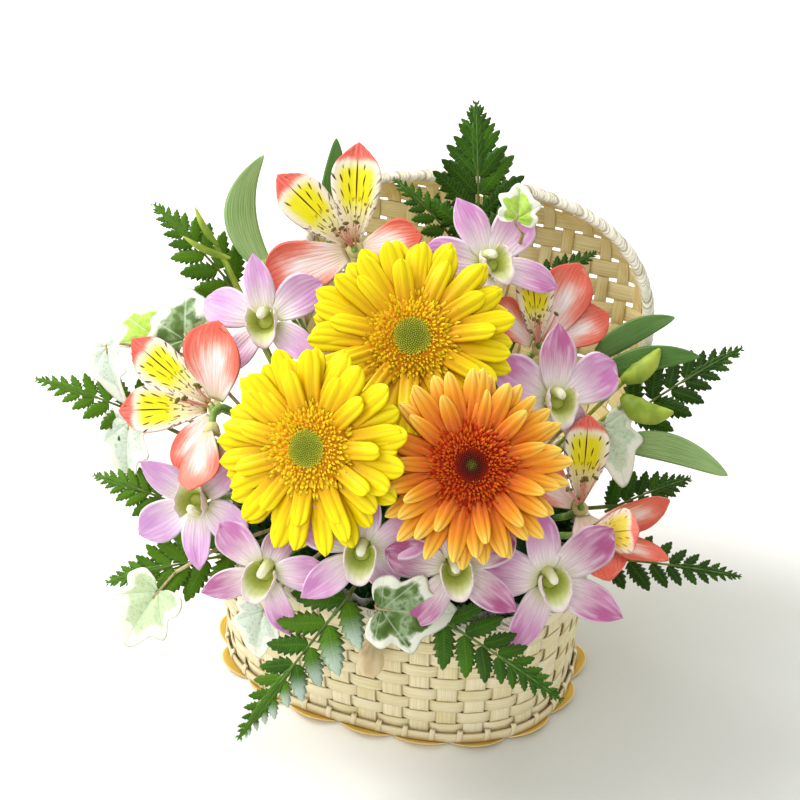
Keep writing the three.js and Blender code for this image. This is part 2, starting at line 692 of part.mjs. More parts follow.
const ALSTROEMERIAS = {
  upper_left: {
    place: [-23, 76, -12],
    turn: -6,
    lift: 8,
    tepals: [
      { spin: 137, open: 62, length: 51, width: 26, kind: 'streaked' },
      { spin: 86, open: 60, length: 51, width: 28, kind: 'streaked' },
      { spin: 205, open: 64, length: 48, width: 34, kind: 'spoon' },
      { spin: 8, open: 66, length: 33, width: 24, kind: 'spoon' }
    ],
    leaves: [
      { from: [-67, 64, -28], to: [-70, 126, -24], width: 19, bow: [-26, -8, 2], facing: 20 },
      { from: [-40, 88, -34], to: [-33, 136, -34], width: 13, bow: [4, 0, 0] }
    ],
    buds: [{ from: [-64, 68, -20], to: [-78, 70, -20], width: 9 }]
  },
  left_open: {
    place: [-93, -4, 0],
    turn: -28,
    lift: 6,
    tepals: [
      { spin: 141, open: 62, length: 52, width: 25, kind: 'streaked' },
      { spin: 184, open: 60, length: 46, width: 26, kind: 'streaked' },
      { spin: 78, open: 56, length: 44, width: 36, kind: 'spoon' },
      { spin: 250, open: 64, length: 34, width: 24, kind: 'spoon' }
    ]
  },
  left_half_open: {
    place: [-93, -16, 10],
    turn: -18,
    lift: -78,
    tepals: [
      { spin: 98, open: 16, curl: 8, length: 34, width: 25, kind: 'spoon' },
      { spin: 214, open: 16, curl: 8, length: 32, width: 22, kind: 'spoon' },
      { spin: 330, open: 16, curl: 8, length: 32, width: 22, kind: 'spoon' }
    ]
  },
  back_right: {
    place: [71, 27, -22],
    turn: 20,
    lift: 24,
    tepals: [
      { spin: 100, open: 50, length: 40, width: 24, kind: 'streaked' },
      { spin: 60, open: 56, length: 46, width: 30, kind: 'spoon' },
      { spin: 20, open: 62, length: 38, width: 26, kind: 'spoon' },
      { spin: 150, open: 56, length: 34, width: 24, kind: 'spoon' }
    ],
    leaves: [
      { from: [100, 22, -26], to: [140, 42, -16], width: 13, bow: [0, 0, 8] },
      { from: [104, 14, -20], to: [152, 22, -12], width: 14, bow: [0, -4, 10] }
    ]
  },
  right_open: {
    place: [90, -54, 2],
    turn: 8,
    lift: 20,
    tepals: [
      { spin: 86, open: 54, length: 44, width: 25, kind: 'streaked' },
      { spin: 280, open: 58, length: 42, width: 30, kind: 'spoon' },
      { spin: 150, open: 56, length: 34, width: 24, kind: 'spoon' }
    ],
    leaves: [{ from: [112, -22, -18], to: [165, -38, -6], width: 17, bow: [0, 0, 12], facing: 20 }]
  },
  right_side: {
    place: [95, -66, 14],
    turn: 64,
    lift: 6,
    tepals: [
      { spin: 50, open: 14, curl: 12, length: 40, width: 25, kind: 'spoon' },
      { spin: 176, open: 16, curl: 12, length: 32, width: 24, kind: 'streaked' },
      { spin: 292, open: 14, curl: 12, length: 38, width: 24, kind: 'spoon' }
    ]
  }
}

const ORCHIDS = {
  upper_left: { place: [-67, 39, 0], turn: -10, lift: 6, spin: 8, size: 31 },
  top_right: { place: [45, 68, -8], turn: 18, lift: 18, spin: 24, size: 34 },
  right: { place: [77, -1, 8], turn: 16, lift: 8, spin: 2, size: 36 },
  left: { place: [-100, -50, 8], turn: -18, lift: -8, spin: 180, size: 31 },
  front_left: { place: [-65, -83, 32], turn: -14, lift: -12, spin: -26, size: 29 },
  front_middle: { place: [-18, -72, 48], turn: -4, lift: -8, spin: -6, size: 32 },
  front_right: { place: [26, -80, 44], turn: 4, lift: -10, spin: 10, size: 32 },
  low_right: { place: [72, -87, 30], turn: 14, lift: -8, spin: 16, size: 36 }
}

const FERNS = {
  top: { from: [42, 84, -58], to: [40, 158, -50], width: 66, lean: 50, breadth: 0.8 },
  upper_left: { from: [-86, 58, -30], to: [-127, 101, -24], width: 42, pairs: 6 },
  left: { from: [-128, -10, -26], to: [-186, 11, -15], width: 38, pairs: 6 },
  left_low: { from: [-112, -54, -16], to: [-156, -38, -14], width: 34, pairs: 6 },
  left_inner: { from: [-84, -30, -30], to: [-144, -50, -26], width: 36, pairs: 6 },
  lower_left: { from: [-84, -78, -8], to: [-148, -92, -4], width: 46 },
  front_left: { from: [-25, -95, 34], to: [-78, -163, 40], width: 50, lean: 58 },
  front_right: { from: [20, -106, 34], to: [77, -142, 52], width: 42, lean: 58 },
  right: { from: [120, -8, -36], to: [176, 27, -22], width: 46, pairs: 6 },
  right_middle: { from: [108, -57, -32], to: [150, -40, -26], width: 36, pairs: 6 },
  lower_right: { from: [102, -80, -10], to: [172, -89, -4], width: 36 },
  lid_right: { from: [70, 56, -54], to: [104, 78, -48], width: 28, pairs: 6 },
  lid_left: { from: [30, 84, -66], to: [-4, 118, -58], width: 32, pairs: 6 }
}

const IVY = {
  left: {
    route: [[-126, 26, -14], [-100, 16, -18]],
    leaves: [
      { place: [-108, 30, -4], size: 30, turn: -6, lift: 10, spin: 4, round: true },
      { place: [-124, 31, -16], size: 34, turn: -10, lift: 24, spin: 52 },
      { place: [-148, 27, -12], size: 31, turn: -44, lift: 0, spin: 186 }
    ]
  },
  left_low: {
    route: [[-134, -9, -17], [-104, -12, -20]],
    leaves: [{ place: [-137, -11, -14], size: 36, turn: -34, lift: 6, spin: 172 }]
  },
  corner: {
    route: [[-112, -86, 2], [-90, -74, 0]],
    leaves: [{ place: [-120, -95, 6], size: 37, turn: -14, lift: 4, spin: 143 }]
  },
  front: {
    route: [[-11, -96, 42], [-8, -80, 28]],
    leaves: [{ place: [-9, -99, 48], size: 40, turn: 4, lift: -8, spin: 262 }]
  },
  front_left: {
    route: [[-66, -100, 22], [-52, -86, 14]],
    leaves: [{ place: [-66, -102, 24], size: 30, turn: -24, lift: -6, spin: 158 }]
  },
  right: {
    route: [[98, -11, -7], [84, -14, -16]],
    leaves: [{ place: [102, -13, -3], size: 34, turn: 18, lift: 14, spin: 204 }]
  },
  top: {
    route: [[62, 84, -8], [56, 60, -28]],
    leaves: [{ place: [58, 90, 4], size: 23, turn: 10, lift: 12, spin: -13 }]
  }
}

const BUD_SPRAYS = {
  right: [
    { from: [112, 2, -6], to: [136, -6, 4], width: 13 },
    { from: [112, 10, -12], to: [131, 26, -8], width: 11 }
  ],
  upper_left: [
    { from: [-86, 72, -14], to: [-110, 83, -12], width: 4 },
    { from: [-92, 78, -14], to: [-104, 98, -14], width: 4 }
  ]
}

// Every node in order: a later piece gives way to the ones before it
const nodes = []
function node(name, colour, make, { roughness = 0.7, room = GAP } = {}) {
  nodes.push({ name, colour, make, roughness, room })
}

node('basket_body', COLOUR.bamboo, basketBody)
node('basket_rim', COLOUR.bambooRim, (grow) => [boundRim(RIM_HALF, RIM_HEIGHT, RIM_RADIUS + grow)])
node('basket_foot', COLOUR.bambooRim, basketFoot)
node('basket_loops', COLOUR.bambooRim, basketLoops)
node('hinge_ring_left', COLOUR.bambooRim, (grow) => hingeRing(-1, grow), { room: RING_ROOM })
node('hinge_ring_right', COLOUR.bambooRim, (grow) => hingeRing(1, grow), { room: RING_ROOM })
node('lid_panel', COLOUR.bamboo, lidPanel)
node('lid_rim', COLOUR.bambooRim, (grow) => [
  boundRim(RIM_HALF, LID_PLANE, RIM_RADIUS + grow, LID_FRAME)
])
node('bead', COLOUR.bead, beadSolid, { roughness: 0.4 })
node('bead_tie', COLOUR.bambooRim, beadTie)

for (const [key, one] of Object.entries(GERBERAS)) {
  const gerbera = { ...one, frame: bloomFrame(one) }
  node(`gerbera_${key}_rays`, one.ray, (grow) => gerberaRays(gerbera, grow))
  node(`gerbera_${key}_disc`, one.eye, (grow) => gerberaDisc(gerbera, grow))
  node(`gerbera_${key}_stem`, COLOUR.stem, (grow) => gerberaStem(gerbera, grow))
}
for (const [key, one] of Object.entries(ALSTROEMERIAS)) {
  const bloom = { throat: 4, stalk: 1.8, ...one, frame: bloomFrame(one) }
  node(`alstroemeria_${key}`, COLOUR.coral, (grow) => tepalBloom(bloom, grow))
}
for (const [key, one] of Object.entries(ORCHIDS)) {
  const bloom = { throat: 4.5, stalk: 1.3, ...one, frame: bloomFrame(one), lip: orchidLip }
  bloom.tepals = orchidTepals(one.size)
  node(`orchid_${key}`, COLOUR.lavender, (grow) => tepalBloom(bloom, grow))
}
for (const [key, buds] of Object.entries(BUD_SPRAYS)) {
  const foot = foamPoint(at(buds[0].from))
  node(`buds_${key}`, COLOUR.bud, (grow) => buds.flatMap((one) => stalkedBud({ foot, ...one }, grow)))
}
for (const [key, one] of Object.entries(IVY)) {
  node(`ivy_${key}`, COLOUR.ivy, (grow) => ivySpray(one, grow))
}
for (const [key, one] of Object.entries(FERNS)) {
  node(`fern_${key}`, COLOUR.fern, (grow) => fernFrond(one, grow))
}
node('floral_foam', COLOUR.foam, foamBlock, { roughness: 0.95 })
node('liner_film', COLOUR.film, linerFilm, { roughness: 0.15 })

function boxesMeet(a, b) {
  const [p, q] = [a.boundingBox(), b.boundingBox()]
  return [0, 1, 2].every((k) => p.min[k] <= q.max[k] && q.min[k] <= p.max[k])
}

function largestBody(solid) {
  return solid.decompose().reduce((best, body) => (body.volume() > best.volume() ? body : best))
}

function meshOf(solid, { name, colour, roughness }) {
  const { vertProperties, triVerts } = solid.getMesh()
  const geometry = new THREE.BufferGeometry()
  geometry.setAttribute('position', new THREE.BufferAttribute(vertProperties, 3))
  geometry.setIndex(new THREE.BufferAttribute(triVerts, 1))
  geometry.computeVertexNormals()
  const mesh = new THREE.Mesh(geometry, new THREE.MeshStandardMaterial({ color: colour, roughness }))
  mesh.name = name
  return mesh
}

const arrangement = new THREE.Group()
const clearances = []
for (const spec of nodes) {
  let body = join(spec.make(0))
  for (const earlier of clearances) {
    if (boxesMeet(body, earlier)) body = body.subtract(earlier)
  }
  arrangement.add(meshOf(largestBody(body), spec))
  clearances.push(join(spec.make(spec.room)))
}

export default arrangement
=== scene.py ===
import math
from types import SimpleNamespace

import bpy
import numpy as np
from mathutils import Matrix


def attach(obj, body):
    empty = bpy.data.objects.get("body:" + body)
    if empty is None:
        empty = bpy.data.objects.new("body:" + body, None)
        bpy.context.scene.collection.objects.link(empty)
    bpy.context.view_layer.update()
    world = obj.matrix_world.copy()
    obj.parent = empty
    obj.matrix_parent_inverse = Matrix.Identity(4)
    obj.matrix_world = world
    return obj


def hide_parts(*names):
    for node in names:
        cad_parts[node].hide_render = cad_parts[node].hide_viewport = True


# A lidded oval bamboo basket of cut flowers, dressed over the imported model. Blender's units are metres,
# +Z up, the front of the basket toward -Y. The dictionaries hold millimetres and degrees.
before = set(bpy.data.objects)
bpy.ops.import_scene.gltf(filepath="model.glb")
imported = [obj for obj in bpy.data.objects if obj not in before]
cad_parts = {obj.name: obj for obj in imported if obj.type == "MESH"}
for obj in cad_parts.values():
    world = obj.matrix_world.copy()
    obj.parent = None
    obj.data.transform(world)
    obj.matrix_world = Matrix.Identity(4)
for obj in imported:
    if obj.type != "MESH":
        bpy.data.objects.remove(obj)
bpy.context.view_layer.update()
mm = 0.001

# The arrangement faces the front right, a third of the way up from level
view = {"heart": [0, 0, 163], "turn": 21, "rise": 34, "distance": 900, "lens": 81, "clip": 20}
heart = np.array(view["heart"]) * mm
viewTurn, viewRise = math.radians(view["turn"]), math.radians(view["rise"])
acrossDir = np.array([math.cos(viewTurn), math.sin(viewTurn), 0])
levelShare = math.cos(viewRise)
forwardDir = np.array(
    [math.sin(viewTurn) * levelShare, -math.cos(viewTurn) * levelShare, math.sin(viewRise)]
)
riseDir = np.cross(forwardDir, acrossDir)


def at(place):
    # millimetres across, up and toward the viewer from the heart, as a point of the scene
    a, r, f = place
    return heart + (acrossDir * a + riseDir * r + forwardDir * f) * mm


def unit(v):
    # each vector divided by its length
    return v / (np.linalg.norm(v, axis=-1, keepdims=True) + 1e-12)


def bloomFrame(place, turn=0, lift=0, spin=0):
    # rows are the bloom's right, up and axis: the axis is turned right and lifted up from the facing
    t, l, s = np.radians([turn, lift, spin])
    axis = forwardDir * np.cos(t) * np.cos(l) + acrossDir * np.sin(t) * np.cos(l) + riseDir * np.sin(l)
    right = unit(np.cross(riseDir, axis))
    across = right * np.cos(s) + np.cross(axis, right) * np.sin(s)
    return {"origin": at(place), "basis": np.array([across, np.cross(axis, across), axis])}


def fromBloom(bloom, local):
    # points in mm along the bloom's right, up and axis
    return bloom["origin"] + np.asarray(local, float) * mm @ bloom["basis"]


# Node trees
class Wire:
    # an output of a node: arithmetic on it adds the math nodes that it needs
    def __init__(self, tree, socket):
        self.tree, self.socket = tree, socket

    def math(self, operation, *others, clamp=False):
        values = dict(enumerate((self, *others)))
        return addNode(self.tree, "Math", 0, values, operation=operation, use_clamp=clamp)

    def __add__(self, other):
        return self.math("ADD", other)

    def __sub__(self, other):
        return self.math("SUBTRACT", other)

    def __rsub__(self, other):
        return self.math("MULTIPLY_ADD", -1.0, other)

    def __mul__(self, other):
        return self.math("MULTIPLY", other)

    def __truediv__(self, other):
        return self.math("DIVIDE", other)

    def __pow__(self, other):
        return self.math("POWER", other)

    def __abs__(self):
        return self.math("ABSOLUTE")


def linear(code):
    # a colour written as in a paint program, as linear light
    parts = [int(code[i : i + 2], 16) / 255 for i in (1, 3, 5)]
    return tuple(c / 12.92 if c <= 0.04045 else ((c + 0.055) / 1.055) ** 2.4 for c in parts) + (1,)


def plug(tree, made, values):
    # a wire is linked to its input, a number or colour code is set there
    for key, value in values.items():
        if isinstance(value, Wire):
            tree.links.new(value.socket, made.inputs[key])
        else:
            made.inputs[key].default_value = linear(value) if isinstance(value, str) else value


def wiresOf(tree, made):
    # a node's outputs by name
    return {socket.name: Wire(tree, socket) for socket in made.outputs}


def addNode(tree, kind, output, values, **settings):
    # a node with its inputs and settings, as one output
    made = tree.nodes.new("ShaderNode" + kind)
    for key, value in settings.items():
        setattr(made, key, value)
    plug(tree, made, values)
    return Wire(tree, made.outputs[output])


def split(wire, kind="SeparateXYZ"):
    # the parts of a vector or a colour
    made = wire.tree.nodes.new("ShaderNode" + kind)
    plug(wire.tree, made, {0: wire})
    return list(wiresOf(wire.tree, made).values())


def joined(*wires):
    # two or three numbers as a vector
    return addNode(wires[0].tree, "CombineXYZ", 0, dict(enumerate(wires)))


def fade(value, low, high, start=0.0, end=1.0):
    # a smooth step between two values
    values = {"Value": value, "From Min": low, "From Max": high, "To Min": start, "To Max": end}
    return addNode(value.tree, "MapRange", 0, values, interpolation_type="SMOOTHSTEP")


def over(colour, *layers):
    # lays each layer's colour over what is there, by its share
    for share, top in layers:
        colour = addNode(share.tree, "Mix", 2, {0: share, 6: colour, 7: top}, data_type="RGBA")
    return colour


def ramp(value, stops):
    # stops are the colour code at each place
    made = addNode(value.tree, "ValToRGB", "Color", {"Fac": value})
    elements = made.socket.node.color_ramp.elements
    for i, (place, code) in enumerate(stops.items()):
        element = elements[i] if i < 2 else elements.new(place)
        element.position = place
        element.color = linear(code)
    return made


def noise(vector, scale, detail=3.0, roughness=0.55):
    # cloudy numbers round a half
    values = {"Vector": vector, "Scale": scale, "Detail": detail, "Roughness": roughness}
    return addNode(vector.tree, "TexNoise", "Fac", values)


def stretched(vector, scale):
    # the vector times a scale along each axis
    return addNode(vector.tree, "Mapping", 0, {"Vector": vector, "Scale": scale})


def newLook(name, paint, roughness, shine=0.2, soft=0.0, more=None):
    # A material. paint(given) returns its colour, then the height, strength and distance of its bump.
    # given holds the UV, split into along and across, the shade attribute, split into tint, under (1 on an
    # underside) and spare, and the place in the piece. side runs from 0 at the midrib to 1 at either edge.
    material = bpy.data.materials.new(name)
    material.use_nodes = True
    tree = material.node_tree
    uv = addNode(tree, "UVMap", 0, {}, uv_map="UVMap")
    along, across, _ = split(uv)
    shade = addNode(tree, "Attribute", "Color", {}, attribute_name="shade")
    tint, under, spare = split(shade, "SeparateColor")
    given = SimpleNamespace(uv=uv, along=along, across=across, side=abs(across * 2.0 - 1.0), alpha=1.0)
    given.tint, given.under, given.spare = tint, under, spare
    given.place = addNode(tree, "TexCoord", "Object", {})
    colour, *bump = paint(given)
    values = {"Base Color": colour, "Roughness": roughness, "Specular IOR Level": shine}
    values.update({"Subsurface Weight": soft, "Alpha": given.alpha, **(more or {})})
    if bump:
        values["Normal"] = addNode(tree, "Bump", 0, dict(zip(("Height", "Strength", "Distance"), bump)))
    plug(tree, tree.nodes["Principled BSDF"], values)
    return material


def newGroup(name, build, **numbers):
    # a node group that takes a UV and numbers: build(given) returns its outputs by name
    tree = bpy.data.node_groups.new(name, "ShaderNodeTree")
    tree.interface.new_socket("UV", in_out="INPUT", socket_type="NodeSocketVector")
    for key, value in numbers.items():
        tree.interface.new_socket(key, in_out="INPUT", socket_type="NodeSocketFloat").default_value = value
    made = build(wiresOf(tree, tree.nodes.new("NodeGroupInput")))
    for key in made:
        tree.interface.new_socket(key, in_out="OUTPUT", socket_type="NodeSocketFloat")
    plug(tree, tree.nodes.new("NodeGroupOutput"), made)
    return tree


def useGroup(group, uv, **numbers):
    # a group in the tree of the UV, as its outputs by name
    made = uv.tree.nodes.new("ShaderNodeGroup")
    made.node_tree = group
    plug(uv.tree, made, {"UV": uv, **numbers})
    return wiresOf(uv.tree, made)


def veins(given):
    # fine lines that run the length of a petal or leaf: a sine across it, wandering a little, sharpened
    drift = noise(stretched(given["UV"], (2.0, 5.0, 1.0)), 1.6)
    turns = (drift * given["Wander"] + split(given["UV"])[1]) * given["Count"] * math.pi
    streaks = noise(stretched(given["UV"], (1.4, 16.0, 1.0)), 2.2, 4.0)
    return {"Mask": abs(turns.math("COSINE")) ** given["Sharpness"], "Mottle": fade(streaks, 0.36, 0.66)}


def fibres(given):
    # split bamboo: long fine fibres, slow colour drift along the splint and darker arrises at its two edges
    run, across, _ = split(given["UV"])
    along, offset = run * 0.35, given["Tint"] * 37.0
    fine = noise(joined(along, across * given["Fibres"], offset), 1.0, 4.0, 0.6)
    mixed = fine * 0.65 + noise(joined(along, offset), 1.3, 2.0) * 0.35
    edge = fade(abs(across * 2.0 - 1.0), 0.84, 1.0)
    return {"Blend": fade(mixed, 0.34, 0.68), "Edge": edge, "Height": fine}


veinGroup = newGroup("lengthwiseVeins", veins, Count=9.0, Wander=0.25, Sharpness=3.0)
fibreGroup = newGroup("splintFibre", fibres, Tint=0.5, Fibres=14.0)

# Camera, lights and floor
lamps = {
    "key": {"place": [-1.2, 0.1, 1.4], "size": 1.1, "power": 31},
    "front": {"place": [-0.6, -1.5, 1.2], "size": 1.5, "power": 9},
    "back": {"place": [0.6, 1.6, 1.3], "size": 1.4, "power": 11},
}
daylight = {"colour": (1.0, 1.0, 1.0, 1), "strength": 0.74, "aim": 0.12}
# the floor is white to the left and behind and grey to the right, a painted shade where the light falls off,
# in mm over which it turns
floorLook = {"half": 4.0, "pale": "#f6f5f2", "shadeGrey": "#d2d3cc", "side": [20, 95], "back": [95, 188]}


def placed(name, data, place=(0, 0, 0), facing=None):
    # puts data into the scene as an object, its Z turned to the facing direction if there is one
    made = bpy.data.objects.new(name, data)
    bpy.context.collection.objects.link(made)
    made.location = place
    if facing is not None:
        towards = made.location.copy()
        towards.xyz = facing
        made.rotation_euler = towards.to_track_quat("Z", "Y").to_euler()
    return made


def makeCamera():
    data = bpy.data.cameras.new("camera")
    data.lens = view["lens"]
    data.clip_end = view["clip"]
    place = heart + forwardDir * view["distance"] * mm
    bpy.context.scene.camera = placed("camera", data, place, forwardDir)


def makeLamps():
    for name, lamp in lamps.items():
        data = bpy.data.lights.new(name, "AREA")
        data.size = lamp["size"]
        data.energy = lamp["power"]
        x, y, z = lamp["place"]
        placed(name, data, lamp["place"], (x, y, z - daylight["aim"]))
    world = bpy.data.worlds.new("daylight")
    bpy.context.scene.world = world
    world.use_nodes = True
    background = world.node_tree.nodes["Background"]
    background.inputs["Color"].default_value = daylight["colour"]
    background.inputs["Strength"].default_value = daylight["strength"]
    bpy.context.scene.view_settings.view_transform = "Standard"


def floorPaint(given):
    # painted shade: grey toward the front right, where the light falls off, with a faint mottle
    x, y, _ = split(given.place)
    side, back = (np.array(floorLook[key]) * mm for key in ("side", "back"))
    shadeGrey = fade(x, side[0], side[1]) * fade(y, back[0], back[1], 1.0, 0.0)
    mottle = noise(given.place, 220.0) * 0.12 + 0.94
    return (over(floorLook["pale"], (shadeGrey * mottle, floorLook["shadeGrey"])),)


def makeFloor():
    half = floorLook["half"]
    mesh = bpy.data.meshes.new("floor")
    corners = [(-half, -half, 0), (half, -half, 0), (half, half, 0), (-half, half, 0)]
    mesh.from_pydata(corners, [], [(0, 1, 2, 3)])
    mesh.materials.append(newLook("floorPaper", floorPaint, 0.9))
    placed("floor", mesh)


makeCamera()
makeLamps()
makeFloor()
print("camera, lamps and floor are in place")


# Surfaces worked out as whole arrays. A part is points, quads, triangles, UV and shade.
def quadsOf(index):
    # the squares of a grid of point numbers, facing along x across
    a, b, c, d = index[:-1, :-1], index[1:, :-1], index[1:, 1:], index[:-1, 1:]
    return np.stack([a, b, c, d], -1).reshape(-1, 4)


def ringIndex(steps, sides):
    # point numbers of rings, each closed by its own first point
    index = np.arange(steps * sides).reshape(steps, sides)
    return np.concatenate([index, index[:, :1]], 1)


def capsOf(index, low, high):
    # triangles from a point below the first ring and one above the last
    start, end = index[0], index[-1]
    lows, highs = np.full(len(start) - 1, low), np.full(len(start) - 1, high)
    below, above = [lows, start[1:], start[:-1]], [highs, end[:-1], end[1:]]
    return np.concatenate([np.stack(below, 1), np.stack(above, 1)])


def column(values):
    # one value for each sheet of a stack
    return np.reshape(np.asarray(values, float), (-1, 1, 1))


def gridUV(along, across):
    # for each row and column, its two numbers side by side
    return np.stack(np.meshgrid(along, across, indexing="ij"), -1)


def shells(sheets, thickness, tint=0.5, uv=None, spare=0.0):
    # Closes each sheet of a stack (count, rows, columns, 3): its two faces stand half the thickness off it,
    # along the cross product of its two directions, and meet at its edge.
    count, rows, columns = sheets.shape[:3]
    normal = unit(np.cross(np.gradient(sheets, axis=1), np.gradient(sheets, axis=2)))
    inner = np.zeros((rows, columns))
    inner[1:-1, 1:-1] = 1
    half = normal * (inner * thickness * mm / 2)[None, :, :, None]
    upperIndex = np.arange(rows * columns).reshape(rows, columns)
    lowerIndex = upperIndex.copy()
    size = rows * columns + (rows - 2) * (columns - 2)
    lowerIndex[1:-1, 1:-1] = np.arange(rows * columns, size).reshape(rows - 2, columns - 2)
    single = np.concatenate([quadsOf(upperIndex), quadsOf(lowerIndex)[:, ::-1]])
    quads = (single[None] + size * np.arange(count)[:, None, None]).reshape(-1, 4)
    if uv is None:
        uv = gridUV(np.linspace(0, 1, rows), np.linspace(0, 1, columns))
    uv = np.broadcast_to(uv, (count, rows, columns, 2))
    shade = np.zeros((count, rows, columns, 3))
    shade[..., 0] = column(tint)
    shade[..., 2] = column(spare)
    below = shade.copy()
    below[..., 1] = 1
    shade[..., 1] = (1 - inner) / 2

    def both(upper, lower):
        width = upper.shape[-1]
        lower = lower[:, 1:-1, 1:-1].reshape(count, -1, width)
        return np.concatenate([upper.reshape(count, -1, width), lower], 1).reshape(-1, width)

    return both(sheets + half, sheets - half), quads, np.zeros((0, 3), int), both(uv, uv), both(shade, below)


def tubes(paths, radii, sides=8, tint=0.5, spare=0.0):
    # Round bars along a stack of paths (count, steps, 3): rings of the given radii (mm) across the path,
    # closed by a point at each end.
    count, steps = paths.shape[:2]
    tangent = unit(np.gradient(paths, axis=1))
    middle = unit(paths[:, -1] - paths[:, 0])
    level = np.array([1.0, 0, 0]) + 0 * middle
    level[np.abs(middle[:, 0]) > 0.8] = [0, 1.0, 0]
    first = unit(np.cross(tangent, level[:, None]))
    second = np.cross(tangent, first)
    turn = 2 * np.pi * np.arange(sides) / sides
    radii = np.broadcast_to(np.asarray(radii, float) * mm, (count, steps))[:, :, None, None]
    ring = first[:, :, None] * np.cos(turn)[:, None] + second[:, :, None] * np.sin(turn)[:, None]
    body = (paths[:, :, None] + ring * radii).reshape(count, -1, 3)
    points = np.concatenate([body, paths[:, :1], paths[:, -1:]], 1)
    size = points.shape[1]
    index = ringIndex(steps, sides)
    shift = size * np.arange(count)[:, None, None]
    quads, tris = quadsOf(index)[:, ::-1][None] + shift, capsOf(index, size - 2, size - 1)[None] + shift
    lengths = np.cumsum(np.linalg.norm(np.diff(paths, axis=1, prepend=paths[:, :1]), axis=2), 1) / (10 * mm)
    uv = np.zeros((count, steps, sides, 2))
    uv[..., 0] = lengths[:, :, None]
    uv[..., 1] = np.abs(np.linspace(-1, 1, sides, endpoint=False))
    uv = np.concatenate([uv.reshape(count, -1, 2), uv[:, :1, 0], uv[:, -1:, 0]], 1)
    shade = np.zeros((count, size, 3))
    shade[..., 0] = np.reshape(tint, (-1, 1))
    shade[..., 2] = np.reshape(spare, (-1, 1))
    widths = (points, 3), (quads, 4), (tris, 3), (uv, 2), (shade, 3)
    return tuple(values.reshape(-1, width) for values, width in widths)


def ringSweep(points, uv, tint=0.5):
    # a ring (steps, sides, 3) closed both ways, its sides counted from outside over the top
    steps, sides = points.shape[:2]
    index = ringIndex(steps, sides)
    index = np.concatenate([index, index[:1]], 0)
    shade = np.zeros((steps * sides, 3))
    shade[:, 0] = np.broadcast_to(tint, (steps, sides)).reshape(-1)
    return points.reshape(-1, 3), quadsOf(index), np.zeros((0, 3), int), uv.reshape(-1, 2), shade


def merged(parts):
    # several parts as one, with the point numbers of their faces moved on
    shift = np.cumsum([0] + [len(p[0]) for p in parts[:-1]])
    return tuple(
        np.concatenate([p[i] + (s if i in (1, 2) else 0) for p, s in zip(parts, shift)]) for i in range(5)
    )


def dress(name, part, material, slot, stands=None, body="basket"):
    # puts a part into the scene as one piece with its UV map and shade attribute
    points, quads, tris, uv, shade = merged(part) if isinstance(part, list) else part
    mesh = bpy.data.meshes.new(name)
    corners = np.concatenate([quads.reshape(-1), tris.reshape(-1)]).astype(np.int32)
    starts = np.concatenate([np.arange(len(quads)) * 4, len(quads) * 4 + np.arange(len(tris)) * 3])
    mesh.vertices.add(len(points))
    mesh.vertices.foreach_set("co", np.ascontiguousarray(points, np.float32).reshape(-1))
    mesh.loops.add(len(corners))
    mesh.loops.foreach_set("vertex_index", corners)
    mesh.polygons.add(len(starts))
    mesh.polygons.foreach_set("loop_start", starts.astype(np.int32))
    mesh.update(calc_edges=True)
    mesh.polygons.foreach_set("use_smooth", np.ones(len(starts), bool))
    mesh.uv_layers.new(name="UVMap").data.foreach_set("uv", uv[corners].astype(np.float32).reshape(-1))
    colour = np.concatenate([shade, np.ones((len(shade), 1))], 1).astype(np.float32)
    mesh.attributes.new("shade", "FLOAT_COLOR", "POINT").data.foreach_set("color", colour.reshape(-1))
    mesh.materials.append(material)
    piece = placed(name, mesh)
    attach(piece, body)
    if stands:
        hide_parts(stands)
    return piece


# Ovals: the basket, its lid and all that runs round them
oval = {
    "power": 2.5, "baseHalf": [93.2, 65.2], "rimHalf": [100, 72], "rimHeight": 83, "rimRadius": 3.2,
    "samples": 1441,
}


def bent(size, wave):
    # a half size times a wave, squared up to the oval's shape
    return size * np.sign(wave) * np.abs(wave) ** (2 / oval["power"])


def ovalAt(share, half):
    # The point and the outward direction at a share of the way round, counted by length from +X.
    # half is the oval's two half sizes, in mm, each one number or an array like share.
    turn = np.linspace(0, 2 * np.pi, oval["samples"])
    rimX, rimY = oval["rimHalf"]
    base = np.stack([bent(rimX, np.cos(turn)), bent(rimY, np.sin(turn))], 1)
    run = np.concatenate([[0], np.cumsum(np.linalg.norm(np.diff(base, axis=0), axis=1))])
    angle = np.interp(np.mod(share, 1.0), run / run[-1], turn)
    c, s = np.cos(angle), np.sin(angle)
    x, y = bent(half[0], c), bent(half[1], s)
    grow = oval["power"] - 1
    nx = np.sign(c) * np.abs(x / half[0]) ** grow / half[0]
    ny = np.sign(s) * np.abs(y / half[1]) ** grow / half[1]
    size = np.hypot(nx, ny) + 1e-9
    return x, y, nx / size, ny / size


def roundOval(share, half, z, out=0.0, side=0.0):
    # points round the oval, moved out from it and to the side along it, in metres
    x, y, nx, ny = ovalAt(share, half)
    return np.stack(np.broadcast_arrays(x + nx * out - ny * side, y + ny * out + nx * side, z), -1) * mm


def wallHalf(z, inset):
    # the wall leans out from the floor to the rim
    share = z / oval["rimHeight"]
    return [base + (rim - base) * share - inset for base, rim in zip(oval["baseHalf"], oval["rimHalf"])]


def overUnder(phase):
    # a splint rides over one crossing and under the next, flat at each and quick between
    return np.tanh(2.2 * np.cos(phase)) / math.tanh(2.2)


weave = {
    "warps": 38, "warpWidth": 10.6, "warpSteps": 70, "warpSpan": [2.0, 80.5],
    "rows": 9, "rowLow": 8.6, "rowPitch": 8.3, "rowWidth": 8.0, "rowSteps": 457,
    "thickness": 0.8, "swing": 0.75, "inset": 1.0,
    "floorPitch": 13.5, "floorWidth": 11.8, "floorHeight": 1.7, "floorInset": 2,
}
stripAcross = np.array([-1, -0.9, 0, 0.9, 1.0])
